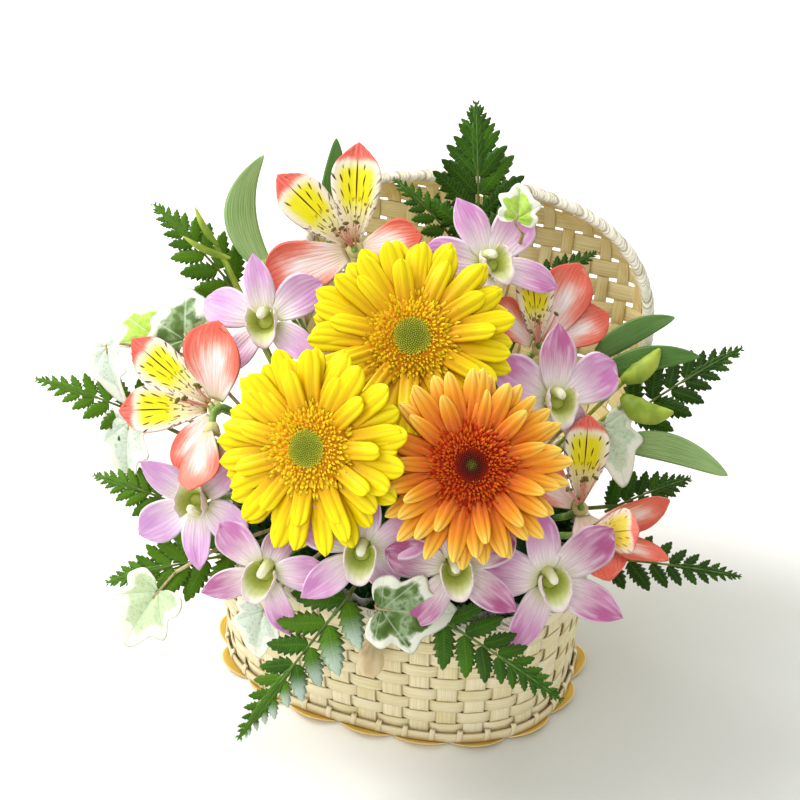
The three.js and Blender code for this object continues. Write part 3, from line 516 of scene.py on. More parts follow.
# the lengths in cm over which the fibres of a splint run
fibreRun = {"upright": 8, "round": 52, "tie": 1}


def stripShells(points, thickness, tint, lengthCm):
    # shells of strips whose fibres run along them
    uv = gridUV(np.linspace(0, lengthCm, points.shape[1]), (stripAcross + 1) / 2)
    return shells(points, thickness, tint, uv)


def wallWarps():
    # upright splints: each a strip across the wall's tangent that swings in and out of the rows
    number = column(np.arange(weave["warps"]))
    z = np.linspace(*weave["warpSpan"], weave["warpSteps"])[None, :, None]
    row = (z - weave["rowLow"]) / weave["rowPitch"]
    out = -weave["swing"] * overUnder(np.pi * (row + number))
    side = stripAcross * weave["warpWidth"] / 2
    points = roundOval(number / weave["warps"], wallHalf(z, weave["inset"]), z, out, side)
    tint = np.random.default_rng(11).random(weave["warps"])
    return stripShells(points[:, :, ::-1], weave["thickness"], tint, fibreRun["upright"])


def wallRows():
    # level splints: each goes once round, over and under the uprights, the next one the other way about
    number = column(np.arange(weave["rows"]))
    share = 0.27 + 0.013 * number + np.linspace(0, 1, weave["rowSteps"])[None, :, None]
    z = weave["rowLow"] + weave["rowPitch"] * number + stripAcross * weave["rowWidth"] / 2
    out = weave["swing"] * overUnder(np.pi * (share * weave["warps"] + number))
    points = roundOval(share, wallHalf(z, weave["inset"]), z, out)
    tint = np.random.default_rng(12).random(weave["rows"])
    return stripShells(points, weave["thickness"], tint, fibreRun["round"])


def crossingStrips(half, pitch, width, height, alongX, steps=40, swing=0.5, uneven=0.0):
    # level splints across an oval, cut at its edge, each over and under the ones that cross it
    longHalf, reach = half if alongX else half[::-1]
    count = int(reach / pitch)
    index = column(np.arange(-count, count + 1))
    rng = np.random.default_rng(int(pitch * 10) + alongX)
    width = width * (1 - uneven * column(rng.random(2 * count + 1)))
    v = np.clip(index * pitch + stripAcross * width / 2, -reach * 0.985, reach * 0.985)
    end = longHalf * (1 - np.abs(v / reach) ** oval["power"]) ** (1 / oval["power"])
    u = np.linspace(-1, 1, steps)[None, :, None] * end
    wave = swing * overUnder(np.pi * (u / pitch + index + count))
    x, y = (u, v + 0 * u) if alongX else (v + 0 * u, u)
    points = np.stack([x, y, height(x, y) + (wave if alongX else -wave)], -1) * mm
    points = points if alongX else points[:, :, ::-1]
    return stripShells(points, weave["thickness"], rng.random(2 * count + 1), 2 * longHalf / 10)


band = {"low": 1.2, "high": 7.4, "out": 2.0, "thickness": 1.1, "tint": 0.62}
ties = {"width": 3.0, "span": [0.7, 9.0], "out": [0.6, 3.0], "slant": 0.0016, "thickness": 0.6}
loops = {"count": 18, "steps": 16, "reach": 6.4, "height": 3.2, "low": 0.5, "out": 1.6, "thickness": 0.7}


def footBand():
    # a flat splint round the foot
    share = np.linspace(0, 1, 361)[None, :, None] + 0.25
    z = (band["low"] + band["high"]) / 2 + stripAcross[None, None, :] * (band["high"] - band["low"]) / 2
    points = roundOval(share, wallHalf(z, -band["out"]), z)
    return stripShells(points, band["thickness"], band["tint"], fibreRun["round"])


def footTies():
    # a narrow tie over the band between two uprights, bowed out over it
    count = weave["warps"]
    t = np.linspace(0, 1, 14)[None, :, None]
    (low, high), (near, far) = ties["span"], ties["out"]
    z = low + (high - low) * t
    share = (column(np.arange(count)) + 0.5) / count + ties["slant"] * (t - 0.5)
    out = near + (far - near) * np.sin(np.pi * t) ** 0.35
    points = roundOval(share, wallHalf(z, 0), z, out, stripAcross * ties["width"] / 2)
    tint = 0.5 + 0.5 * np.random.default_rng(13).random(count)
    return stripShells(points[:, :, ::-1], ties["thickness"], tint, fibreRun["tie"])


def footLoops():
    # one splint runs under the band and stands out from it in scallops, its outer edge a little raised
    count = loops["count"]
    t = np.linspace(0, 1, count * loops["steps"] + 1)
    bow = np.abs(np.sin(np.pi * count * t)) ** 0.75
    number = np.minimum((t * count).astype(int), count - 1)
    size = 0.8 + 0.4 * np.random.default_rng(14).random(count)[number]
    width = np.array([0, 0.12, 0.5, 0.88, 1.0])
    z = loops["low"] + (loops["height"] * bow)[None, :, None] * width**1.6
    out = (loops["reach"] * bow * size)[None, :, None] * width
    points = roundOval((t + 0.012)[None, :, None], wallHalf(0, -loops["out"]), z, out)
    return stripShells(points[:, :, ::-1], loops["thickness"], 0.5, fibreRun["round"])


def splintLook(name, pale, deep, edge, fibreCount=14.0, roughness=0.55):
    # fibres from deep to pale, each splint in its own tint, with its two edges in a third colour
    def paint(given):
        fibre = useGroup(fibreGroup, given.uv, Tint=given.tint, Fibres=fibreCount)
        colour = over(deep, (fibre["Blend"], pale), (given.tint * 0.45, pale), (fibre["Edge"] * 0.6, edge))
        return colour, fibre["Height"], 0.35, 0.0006

    return newLook(name, paint, roughness)


bamboo = splintLook("bambooSplint", "#f7edcc", "#dccb90", "#a88f50")
bambooBand = splintLook("bambooBand", "#f4ebcc", "#dcc890", "#b0945a", 10.0)
bambooLoop = splintLook("bambooLoop", "#e6c766", "#c59a34", "#f4e8c2", 10.0)
bambooLid = splintLook("bambooLid", "#fdf2c2", "#dcb95c", "#a88534", 20.0)


def floorLevel(x, y):
    # the height of the basket's floor, the same everywhere
    return weave["floorHeight"] + 0 * x * y


def makeBasket():
    base = [size - weave["floorInset"] for size in oval["baseHalf"]]
    pitch, width = weave["floorPitch"], weave["floorWidth"]
    floor = [crossingStrips(base, pitch, width, floorLevel, alongX) for alongX in (True, False)]
    dress("basket_weave", [wallWarps(), wallRows(), *floor], bamboo, "bamboo", "basket_body")
    dress("basket_band", [footBand(), footTies()], bambooBand, "bamboo_binding", "basket_foot")
    dress("basket_loops_splint", footLoops(), bambooLoop, "bamboo_binding", "basket_loops")


makeBasket()
print("the basket's weave, band and loops are made")

lidValues = {
    "plane": 90, "depth": 20, "hinge": [0, 75, 86.5], "lean": 19, "pitch": 11.2, "width": 10.2, "inset": 2.5,
    "crossWidth": 0.74, "wraps": 76, "ringRadius": 9.5, "wire": 0.9, "ringOffset": 22, "seed": 21,
}


def openLid(part):
    # turns a part of the closed lid back about its hinge line
    turn = -math.radians(90 + lidValues["lean"])
    pivot = np.array(lidValues["hinge"]) * mm
    c, s = math.cos(turn), math.sin(turn)
    return (part[0] - pivot) @ np.array([[1, 0, 0], [0, c, s], [0, -s, c]]) + pivot, *part[1:]


def lidHeight(x, y):
    # the closed lid is level over its middle and falls quickly to its rim
    p, (a, b) = oval["power"], oval["rimHalf"]
    nearX, nearY = np.abs(x / a) ** p, np.abs(y / b) ** p
    inset = (1 - (nearX + nearY)) / (p * (nearX / a + nearY / b) + 1e-6)
    return lidValues["plane"] + 1.2 + lidValues["depth"] * (1 - np.exp(-np.maximum(inset - 3.0, 0) / 6.0))


def boundRim(z, seed):
    # A round bar round the oval under slanting wraps of split straw, drawn together every second wrap into
    # bundles that swell between their notches.
    wraps = lidValues["wraps"]
    share = np.arange(wraps * 10)[:, None] / (wraps * 10)
    turn = 2 * np.pi * np.arange(14)[None, :] / 14
    slant = share * wraps + 0.7 * np.sin(turn)
    proud = np.random.default_rng(seed).random(wraps + 2)[np.floor(slant).astype(int) % wraps]
    bundle = np.sin(np.pi * np.mod(slant / 2, 1) ** 0.7) ** 0.6
    swell = 0.06 * np.sin(np.pi * np.mod(slant, 1)) ** 0.5 * (0.4 + proud)
    radius = oval["rimRadius"] * (0.8 + 0.2 * bundle + swell)
    points = roundOval(share, oval["rimHalf"], z + radius * np.sin(turn), radius * np.cos(turn))
    uv = np.stack([slant, 0.5 + 0 * slant + 0.5 * np.sin(turn)], -1)
    return ringSweep(points[:, ::-1], uv[:, ::-1], proud[:, ::-1])


def strawPaint(given):
    # the wrap's strands run across the bar, so the lines follow the slanting share of each wrap
    grain = noise(joined(given.along * 6.0, given.across), 1.0, 3.0, 0.7)
    middle = abs((given.along * 0.5).math("FRACT") - 0.5)
    colour = ramp(grain, {0.34: "#9c9062", 0.46: "#e2dbbf", 0.56: "#fdfaee"})
    # the dark #857a50 laid in the notches between bundles is painted shade
    return over(colour, (fade(middle, 0.42, 0.5) * 0.7, "#857a50")), grain, 0.8, 0.0012


straw = newLook("strawWrap", strawPaint, 0.6)


def hingeRing(side):
    # a wire ring standing across the hinge line
    turn = np.linspace(0, 2 * np.pi, 37)[:-1][:, None]
    around = 2 * np.pi * np.arange(8)[None, :] / 8
    radius = lidValues["ringRadius"] + lidValues["wire"] * np.cos(around)
    across = side * lidValues["ringOffset"] + lidValues["wire"] * np.sin(around) + 0 * turn
    _, y, z = lidValues["hinge"]
    points = np.stack([across, y + radius * np.cos(turn), z + radius * np.sin(turn)], -1) * mm
    return ringSweep(points, np.stack([0.2 * turn + 0 * around, 0.5 + 0 * turn * around], -1))


def makeLid():
    half = [size - lidValues["inset"] for size in oval["rimHalf"]]
    pitch, width = lidValues["pitch"], lidValues["width"]
    strips = [
        crossingStrips(half, pitch, width * share, lidHeight, alongX, steps=90, swing=0.6, uneven=uneven)
        for alongX, share, uneven in ((True, 1, 0.16), (False, lidValues["crossWidth"], 0.1))
    ]
    dress("lid_weave", openLid(merged(strips)), bambooLid, "bamboo", "lid_panel", "lid")
    rim = openLid(boundRim(lidValues["plane"], lidValues["seed"]))
    dress("lid_binding", rim, straw, "bamboo_binding", "lid_rim", "lid")
    rim = boundRim(oval["rimHeight"], lidValues["seed"] + 1)
    dress("basket_binding", rim, straw, "bamboo_binding", "basket_rim")
    for side, name in ((-1, "left"), (1, "right")):
        dress(f"hinge_{name}_wire", hingeRing(side), bambooBand, "bamboo_binding", f"hinge_ring_{name}")


makeLid()
print("the lid, the bound rims and the hinge rings are made")

beadValues = {"place": [15, -79.6, 62], "radius": 7, "height": 20, "tie": 0.6}


def woodPaint(given):
    # rings drawn out along the bead's upright axis
    rings = noise(stretched(given.place, (160, 160, 22)), 1.0, 4.0)
    return ramp(rings, {0.3: "#c2a570", 0.55: "#dfc898", 0.75: "#ecdcb6"}), rings, 0.08, 0.0005


def makeBead():
    # An egg turned round an upright axis, radius * sqrt(1 - (2 t - 1)**2) and fuller below, and its string,
    # which rises from it and hooks over the basket's rim as part of a circle.
    x, y, z = beadValues["place"]
    t = np.linspace(0, 1, 26)
    path = np.stack(np.broadcast_arrays(x, y, z + beadValues["height"] * (t - 0.5)), -1)[None] * mm
    radius = beadValues["radius"] * np.sqrt(np.clip(1 - (2 * t - 1) ** 2, 0.02, 1)) * (1.08 - 0.18 * t)
    wood = newLook("beadWood", woodPaint, 0.35, 0.5, more={"Coat Weight": 0.2})
    dress("bead_turned", tubes(path, radius * 0.98, 28), wood, "bead_wood", "bead")
    wrap, middle, rim = oval["rimRadius"] + 1.2, 0.4 - oval["rimHalf"][1], oval["rimHeight"]
    turns = np.radians(np.linspace(200, -20, 14))
    hook = np.stack([x + 0 * turns, middle + wrap * np.cos(turns), rim + wrap * np.sin(turns)], -1)
    start = [[x, y, z + beadValues["height"] / 2 - 1], [x, y + 1.2, rim - 8]]
    route = np.concatenate([start, hook, [[x, middle + wrap, rim - 6]]])
    string = tubes(route[None] * mm, beadValues["tie"], 8)
    dress("bead_tie_string", string, straw, "bamboo_binding", "bead_tie")


makeBead()

foam = {"rows": [[82, 54, 3.3], [86, 58, 74], [84, 56, 84], [78, 51, 92], [72, 46, 104], [60, 35, 112]]}
film = {"outer": [[87.6, 59.6, 50], [90, 62, 76], [93, 65, 88]], "ruffle": 2.2, "thickness": 0.5}
moss = {"count": 1500, "length": [6, 13], "width": [2.6, 4.6], "seed": 31}


def mossTufts():
    # short leaves all over the top and shoulders of the foam: each leaves the foam's face at a slant
    rng = np.random.default_rng(moss["seed"])
    count = moss["count"]
    rows = np.array(foam["rows"])[1:]
    share = rng.random(count)
    t = (1 - rng.random(count) ** 0.6) * (len(rows) - 1)
    halfX, halfY, z = (np.interp(t, np.arange(len(rows)), rows[:, i]) for i in range(3))
    inside = np.where(rng.random(count) < 0.45, np.sqrt(rng.random(count)), 1.0)
    top = inside < 1
    z = np.where(top, rows[-1, 2], z)
    halfX, halfY = (np.where(top, rows[-1, i] * inside, half) for i, half in ((0, halfX), (1, halfY)))
    x, y, nx, ny = ovalAt(share, (halfX, halfY))
    out = np.where(top, 0.15, 0.8)[:, None] * np.stack([nx, ny, 0 * nx], -1)
    way = unit(out + [0, 0, 0.6] + rng.normal(0, 0.45, (count, 3)))
    side = unit(np.cross(way, rng.normal(0, 1, (count, 3))))
    lift = np.cross(side, way)
    length, width = (column(rng.uniform(*moss[key], count)) for key in ("length", "width"))
    u = np.linspace(0, 1, 6)[None, :, None]
    v = np.array([-1, 0, 1.0]) * np.sin(np.pi * np.clip(u, 0.03, 0.985)) ** 0.7 * width / 2
    bend = -0.25 * length * u**2 + 0.3 * np.abs(v)
    points = np.stack([x, y, z], -1)[:, None, None]
    for axis, reach in ((way, length * u), (side, v), (lift, bend)):
        points = points + axis[:, None, None] * reach[..., None]
    return shells(points * mm, 0.5, rng.random(count))


def foamPaint(given):
    # two deep greens in clouds, with a fine grain
    colour = ramp(noise(given.place, 60.0, 3.0), {0.35: "#16351d", 0.7: "#2c5a34"})
    return colour, noise(given.place, 900.0, 2.0), 0.6, 0.0006


def filmPaint(given):
    # clear film: mostly see-through, its creases catching the light
    creases = noise(given.place, 120.0, 4.0)
    given.alpha = fade(creases, 0.3, 0.8, 0.12, 0.62)
    return "#ffffff", creases, 0.7, 0.002


# the moss's deep greens are partly painted shade: the dark tufts fill the gaps between the blooms, where
# deep shade falls
mossLook = splintLook("mossTufts", "#2f5a18", "#17360c", "#41701f", 3.0, 0.6)


def profileOf(rows, steps):
    # rows of half sizes and height, with more rows between them, and how far up each is
    rows = np.array(rows)
    t = np.linspace(0, len(rows) - 1, steps)
    columns = [np.interp(t, np.arange(len(rows)), rows[:, i]) for i in range(3)]
    return np.stack(columns, -1), t / (len(rows) - 1)


def makeLining():
    # The foam is the oval carried up its rows. The film is a band round it that stands out in ruffles, by
    # ruffle * (sin(31 turns) + 0.6 * sin(47 turns)) * rise**2, and waves up and down along its upper edge.
    profile, _ = profileOf(foam["rows"], 26)
    halfX, halfY, z = (profile[:, i : i + 1] for i in range(3))
    side = roundOval(np.linspace(0, 1, 97)[None, :], (halfX, halfY), z)[:, :-1]
    points = np.concatenate([side.reshape(-1, 3), [[0, 0, z[0, 0] * mm], [0, 0, z[-1, 0] * mm]]])
    index, size = ringIndex(*side.shape[:2]), len(points)
    tris = capsOf(index, size - 2, size - 1)
    part = (points, quadsOf(index)[:, ::-1], tris, np.zeros((size, 2)), np.full((size, 3), 0.5))
    dress("floral_foam_block", part, newLook("wetFoam", foamPaint, 0.9), "foam", "floral_foam")
    dress("floral_foam_moss", mossTufts(), mossLook, "foam")

    profile, rise = profileOf(film["outer"], 12)
    share = np.linspace(0, 1, 361)[:, None]
    wave = np.sin(share * 2 * np.pi * 31) + 0.6 * np.sin(share * 2 * np.pi * 47 + 1)
    out = film["ruffle"] * wave * rise**2 - 0.8
    z = profile[:, 2] + 1.5 * np.sin(share * 2 * np.pi * 19) * rise**3
    points = roundOval(share + 0.1, (profile[:, 0], profile[:, 1]), z, out)[None]
    clear = newLook("clearFilm", filmPaint, 0.08, 0.8, more={"IOR": 1.4})
    return dress("liner_film_sheet", shells(points, film["thickness"]), clear, "film", "liner_film")


lining = makeLining()
print("the bead, the foam and the clear lining are made")


# Petals
def outlineOf(rise, fall, base):
    # half width along a petal: u**rise * (1 - u)**fall, scaled to 1 at its widest, over a base width
    # that runs out at the tip
    peak = rise / (rise + fall)
    top = peak**rise * (1 - peak) ** fall
    return lambda u: base * (1 - u**5) + (1 - base) * u**rise * (1 - u) ** fall / top


def strap(base, rounded):
    # half width along a strap: it opens from its base, runs straight and closes over its last share
    def half(u):
        end = np.clip((u - 1 + rounded) / rounded, 0, 0.995)
        return (base + (1 - base) * np.sin(np.pi / 2 * np.minimum(u / 0.4, 1))) * np.sqrt(1 - end**2)

    return half


def petalSheets(bloom, petals, outline, hub, height, tip=0.12, rows=14, columns=9, level=0.0, crowd=1.3):
    # A petal leaves the throat at an angle to the bloom's axis and bends further out along its length:
    # out = hub + length / curl * (cos(open) - cos(angle)), up = length / curl * (sin(angle) - sin(open)),
    # with the height of its relief added along its normal. tip shortens its sides, so its end is round.
    # crowd gathers its rows toward the tip. petals are spin, open, curl, length and width.
    u = (1 - (1 - np.linspace(0, 1, rows)) ** crowd)[None, :, None]
    s = np.linspace(-1, 1, columns)[None, None, :]
    spin, opening, curl, length, width = (column(values) for values in petals)
    spin, opening, curl = np.radians(spin), np.radians(opening), np.radians(curl)
    angle = opening + curl * (u * (1 - tip * np.abs(s) ** 2.2))
    out = hub + length / curl * (np.cos(opening) - np.cos(angle))
    up = length / curl * (np.sin(angle) - np.sin(opening)) + level
    v = s * outline(u) * width / 2
    h = height(u, s, np.arange(len(spin))[:, None, None]) + 0 * v
    radial = out - h * np.cos(angle)
    axial = up + h * np.sin(angle)
    x = radial * np.cos(spin) - v * np.sin(spin)
    y = radial * np.sin(spin) + v * np.cos(spin)
    return fromBloom(bloom, np.stack([x, y, axial], -1))


def petalLook(name, paint, lines, roughness=0.5):
    # lines are the count, wander and sharpness of its veins, which paint(given) reads as mask and mottle
    def whole(given):
        made = useGroup(veinGroup, given.uv, **dict(zip(("Count", "Wander", "Sharpness"), lines)))
        given.mask, given.mottle = made["Mask"], made["Mottle"]
        return paint(given), given.mask, 0.25, 0.0006

    return newLook(name, whole, roughness, 0.16, 0.12, {"Subsurface Radius": (0.004, 0.003, 0.002)})


def gerberaLook(name, base, low, main, tip, grooveShade, under):
    # four colours along a ray, painted shade in its grooves, and its underside
    def paint(given):
        colour = ramp(given.along, {0.0: base, 0.27: low, 0.53: main, 0.88: tip})
        # the groove colour, laid on the vein mask along the folds' valleys, is painted shade
        colour = over(colour, (given.mask * 0.45, grooveShade), (given.mottle * 0.2, tip))
        return over(colour, (given.under * 0.6, under))

    return petalLook(name, paint, (3.0, 0.05, 6.0), 0.42)


def discLook(name, stops, other, share):
    # colours along a floret, some florets nearer another colour
    def paint(given):
        colour = over(ramp(given.along, stops), (fade(given.tint, 0.3, 0.7) * share, other))
        return colour, noise(given.place, 1500.0), 0.2, 0.0004

    return newLook(name, paint, 0.55, 0.15, 0.08)


gerberaLooks = {
    "yellow": [
        gerberaLook("gerberaYellow", "#d07404", "#e4aa05", "#eed404", "#f8ea0a", "#c69402", "#d8b406"),
        discLook("floretYellow", {0.0: "#cc6e06", 0.3: "#f8b60c", 0.62: "#ffec20"}, "#f6b010", 0.3),
        discLook("eyeGreen", {0.0: "#a3a93c", 0.6: "#a9ad34", 1.0: "#c6bd38"}, "#868f28", 0.3), "eye_gold",
    ],
    "orange": [
        gerberaLook("gerberaOrange", "#a82006", "#dc5408", "#f39c1e", "#ffdc60", "#ba5808", "#e09c28"),
        discLook("floretOrange", {0.0: "#8e1406", 0.45: "#e03c08", 0.85: "#ff9c24"}, "#c82e08", 0.5),
        discLook(
            "eyeRed", {0.1: "#7d7a34", 0.42: "#5e2412", 0.8: "#8c1c0a", 1.0: "#b3300f"}, "#4c160a", 0.3,
        ),
        "eye_red",
    ],
}
gerberas = {
    "top": {
        "place": [6, 30, 25], "turn": 0, "lift": 12, "radius": 52, "disc": 21, "kind": "yellow", "seed": 3,
    },
    "left": {
        "place": [-42, -23, 52], "turn": -25, "lift": 0, "radius": 49, "disc": 21, "kind": "yellow",
        "seed": 4,
    },
    "orange": {
        "place": [33, -31, 60], "turn": 4, "lift": 8, "radius": 47, "disc": 19, "kind": "orange", "seed": 5,
    },
}
rays = {
    # each layer: how many, share of the radius, height on the axis, open angle, curl, width
    "layers": [[21, 1.0, -1.4, 80, 17, 12.4], [19, 0.95, 0.2, 79, 13, 12.0], [11, 0.78, 1.6, 76, 9, 9.6]],
    "hub": 13, "thickness": 0.7,
    # the green cup behind them, as heights on the axis and radii, and the stem
    "cup": [[-9, -8, -5.5, -3.8, -2.8], [2.4, 4.5, 9, 12.5, 13]], "stem": 2.4, "back": 8,
}


def wanderOf(rng, count):
    # gives each petal a random number, up to a size either way
    def wander(size):
        return rng.uniform(-size, size, count)

    return wander


def gerberaRays(bloom, one):
    # Layers of straps folded along their length: relief = 0.62 * cos(2.5 pi s), fading to the tip, less an
    # arch * s**2 that lowers the sides, plus a twist * s * u.
    pointed = one["kind"] == "orange"
    outline = strap(0.44, 0.5 if pointed else 0.22)
    rng = np.random.default_rng(one["seed"])
    parts = []
    for count, share, level, opening, curl, width in rays["layers"]:
        wander = wanderOf(rng, count)
        length = (one["radius"] * share - rays["hub"]) * (1 + wander(0.07))
        spin = np.arange(count) * 360 / count + wander(4.5) + rng.uniform(0, 20)
        petals = [spin, opening + wander(4), curl + wander(7), length]
        petals.append(width * (0.86 if pointed else 1) * (1 + wander(0.1)))
        twist, arch = wander(0.7), 1.0 + wander(0.35)

        def relief(u, s, number):
            folds = 0.62 * np.cos(2.5 * np.pi * s) * np.minimum(1, 4 * u) * (1 - 0.45 * u)
            return folds - 1.4 * arch[number] * s**2 * (0.35 + u) + twist[number] * s * u * 1.6

        sheets = petalSheets(bloom, petals, outline, rays["hub"], relief, 0.03, 17, 13, level, 1.6)
        parts.append(shells(sheets, rays["thickness"], rng.random(count)))
    return parts


discValues = {
    # how many rings of florets, the radius share, count, lean and length of the first ring and of the last
    "rings": 11, "share": [0.45, 1.03], "count": [34, 66], "lean": [4, 66], "length": [2.2, 6.2],
    "heart": 0.44, "bumps": 260, "dome": 5.4, "fall": 3.0, "sunflower": 137.508,
}


def discHeight(share):
    # the disc's dome falls away from its heart
    return discValues["dome"] - discValues["fall"] * share**2


def floretCup(u, s, number):
    # the relief of a floret: its sides lift
    return 0.3 * s**2


def axisTube(bloom, heights, radii, sides, tint=0.5):
    # rings round the bloom's axis
    path = np.asarray(heights, float)[:, None] * [0, 0, 1.0]
    return tubes(fromBloom(bloom, path)[None], radii, sides, tint)


def gerberaDisc(bloom, one):
    # the rings of curled florets, each a small strip rising from the disc and turning over at its tip
    rng = np.random.default_rng(one["seed"] + 40)
    parts = []
    for t in np.arange(discValues["rings"]) / (discValues["rings"] - 1):
        ends = (discValues[key] for key in ("share", "count", "lean", "length"))
        share, count, lean, length = (a + (b - a) * t for a, b in ends)
        count = int(count)
        wander = wanderOf(rng, count)
        petals = [np.arange(count) * 360 / count + wander(3), lean + wander(16), 60 + wander(50)]
        petals.extend([length * (1 + wander(0.25)), 1.5 + 0.5 * t + wander(0.3)])
        hub = column(one["disc"] * share * 0.94 + wander(0.7))
        outline, level = outlineOf(0.3, 0.4, 0.5), discHeight(share) - 1
        sheets = petalSheets(bloom, petals, outline, hub, floretCup, 0.3, 6, 3, level)
        parts.append(shells(sheets, 0.6, rng.random(count)))
    heights = [1.8, *(discHeight(np.array([0.7, 0.4, 0.0])) - 1.2)]
    dome = axisTube(bloom, heights, one["disc"] * np.array([0.96, 1.0, 0.66, 0.3]), 40, 0.0)
    dome[3][:, 0] = 0.12
    return [*parts, dome]


def gerberaEye(bloom, one):
    # small round buds in a sunflower spiral, over a cushion that closes the disc
    count = discValues["bumps"]
    k = np.arange(count)
    away = np.sqrt((k + 0.5) / count)
    reach = one["disc"] * discValues["heart"] * away
    turn = k * math.radians(discValues["sunflower"])
    t = np.array([0, 0.3, 0.65, 0.9, 1.0])
    height = discHeight(discValues["heart"] * away) - 0.8
    base = np.stack([reach * np.cos(turn), reach * np.sin(turn), height], -1)[:, None]
    radii = (0.44 + 0.16 * away)[:, None] * np.array([0.9, 1.0, 0.9, 0.5, 0.12])
    tint = np.random.default_rng(one["seed"] + 60).random(count)
    buds = tubes(fromBloom(bloom, base + t[:, None] * [0, 0, 1.3]), radii, 7, tint)
    rise = np.concatenate([np.repeat(t, 7), [0, 1]])
    buds[3][:, 0] = 0.9 * np.repeat(away, len(rise)) + 0.1 * np.tile(rise, count)
    level = np.array([1.0, 0.8, 0.5, 0.2])
    heights, radii = discHeight(level * discValues["heart"]) - 0.6, one["disc"] * level * discValues["heart"]
    cushion = axisTube(bloom, heights, radii, 40)
    cushion[3][:, 0] = np.concatenate([np.repeat(level, 40), [1.0, 0.0]])
    return [buds, cushion]


def quadratic(a, middle, b, t):
    # from a to b, drawn toward the middle point
    return (1 - t) ** 2 * a + 2 * t * (1 - t) * middle + t**2 * b


stemEnd = {
    "shareX": 0.62, "limitX": 52, "shareY": 0.5, "limitY": 30, "back": 4,
    "height": 102, "sinkUnder": 190, "sink": 0.05,
}


def foamPoint(p):
    # Where a stem from p ends in the foam: drawn in toward the middle and a little back, kept inside, and
    # deeper for a bloom that stands low.
    x, y, z = p / mm
    x = np.clip(x * stemEnd["shareX"], -stemEnd["limitX"], stemEnd["limitX"])
    y = np.clip(y * stemEnd["shareY"] + stemEnd["back"], -stemEnd["limitY"], stemEnd["limitY"])
    return np.array([x, y, stemEnd["height"] - stemEnd["sink"] * max(0, stemEnd["sinkUnder"] - z)]) * mm


def bloomStem(bloom, back, radius, sides=10):
    # leaves the back of the bloom along its axis and bends down into the foam, a parabola through its bend
    start = fromBloom(bloom, [0, 0, 1 - back])
    end = foamPoint(start)
    reach = np.linalg.norm(end - start) / mm
    bend = fromBloom(bloom, [0, 0, -back - reach * 0.34]) * 0.8 + end * 0.2
    control = 2 * bend - (start + end) / 2
    return tubes(quadratic(start, control, end, np.linspace(0, 1, 14)[:, None])[None], radius, sides)


def plantLook(name, pale, deep, scale=160.0):
    # drifts from deep to pale along the stem
    def paint(given):
        drift = noise(stretched(given.place, (1, 1, 0.4)), scale, 3.0)
        return over(deep, (fade(drift, 0.35, 0.65), pale)), drift, 0.15, 0.0005

    return newLook(name, paint, 0.45, 0.25, 0.05)


stemGreen = plantLook("stemGreen", "#8db55a", "#55823a")
budGreen = plantLook("budGreen", "#a6b944", "#6f8a22", 60.0)
twigTan = plantLook("twigTan", "#cdbb8e", "#9a8a58")


def makeGerberas():
    for key, one in gerberas.items():
        bloom = bloomFrame(one["place"], one["turn"], one["lift"])
        petal, floret, heartLook, eye = gerberaLooks[one["kind"]]
        name = f"gerbera_{key}"
        dress(f"{name}_petals", gerberaRays(bloom, one), petal, "petal_" + one["kind"], f"{name}_rays")
        dress(f"{name}_florets", gerberaDisc(bloom, one), floret, eye, f"{name}_disc")
        dress(f"{name}_eye", gerberaEye(bloom, one), heartLook, eye)
        green = [axisTube(bloom, *rays["cup"], 24), bloomStem(bloom, rays["back"], rays["stem"], 12)]
        dress(f"{name}_stalk", green, stemGreen, "stem", f"{name}_stem")


makeGerberas()
print("the gerberas are made")

# Alstroemerias: broad outer tepals and narrow streaked ones round a narrow throat
alstroemerias = {
    # streaked and spoon rows are spin, open, length and width; pale is how light a leaf is, facing its turn
    # about its own line, and bow how far its middle is moved along x, y and z
    "upper_left": {
        "place": [-23, 76, -12], "turn": -6, "lift": 8,
        "streaked": [[137, 62, 51, 26], [86, 60, 51, 28]], "spoon": [[205, 64, 48, 34], [8, 66, 33, 24]],
        "leaves": [
            {
                "from": [-67, 64, -28], "to": [-70, 126, -24], "width": 19, "bow": [-26, -8, 2],
                "facing": 20, "pale": 0.8,
            },
            {"from": [-40, 88, -34], "to": [-33, 136, -34], "width": 13, "bow": [4, 0, 0], "pale": 0.1},
        ],
        "buds": [{"from": [-64, 68, -20], "to": [-78, 70, -20], "width": 9}],
    },
    "left_open": {
        "place": [-93, -4, 0], "turn": -28, "lift": 6,
        "streaked": [[141, 62, 52, 25], [184, 60, 46, 26]], "spoon": [[75, 57, 43, 39], [250, 64, 34, 24]],
    },
    "left_half_open": {
        "place": [-93, -16, 10], "turn": -18, "lift": -78, "curl": 8,
        "spoon": [[98, 16, 34, 25], [214, 16, 32, 22], [330, 16, 32, 22]],
    },
    "back_right": {
        "place": [71, 27, -22], "turn": 20, "lift": 24,
        "streaked": [[100, 50, 40, 24]], "spoon": [[60, 56, 46, 30], [20, 62, 38, 26], [150, 56, 34, 24]],
        "leaves": [
            {"from": [100, 22, -26], "to": [140, 42, -16], "width": 13, "bow": [0, 0, 8], "pale": 0.2},
            {"from": [104, 14, -20], "to": [152, 22, -12], "width": 14, "bow": [0, -4, 10], "pale": 0.15},
        ],
    },
    "right_open": {
        "place": [90, -54, 2], "turn": 8, "lift": 20,
        "streaked": [[86, 54, 44, 25]], "spoon": [[280, 58, 42, 30], [150, 56, 34, 24]],
        "leaves": [
            {
                "from": [112, -22, -18], "to": [165, -38, -6], "width": 17, "bow": [0, 0, 12],
                "facing": 20, "pale": 0.7,
            },
        ],
    },
    "right_side": {
        "place": [95, -66, 14], "turn": 64, "lift": 6, "curl": 12,
        "streaked": [[176, 16, 32, 24]], "spoon": [[50, 14, 40, 25], [292, 14, 38, 24]],
    },
}
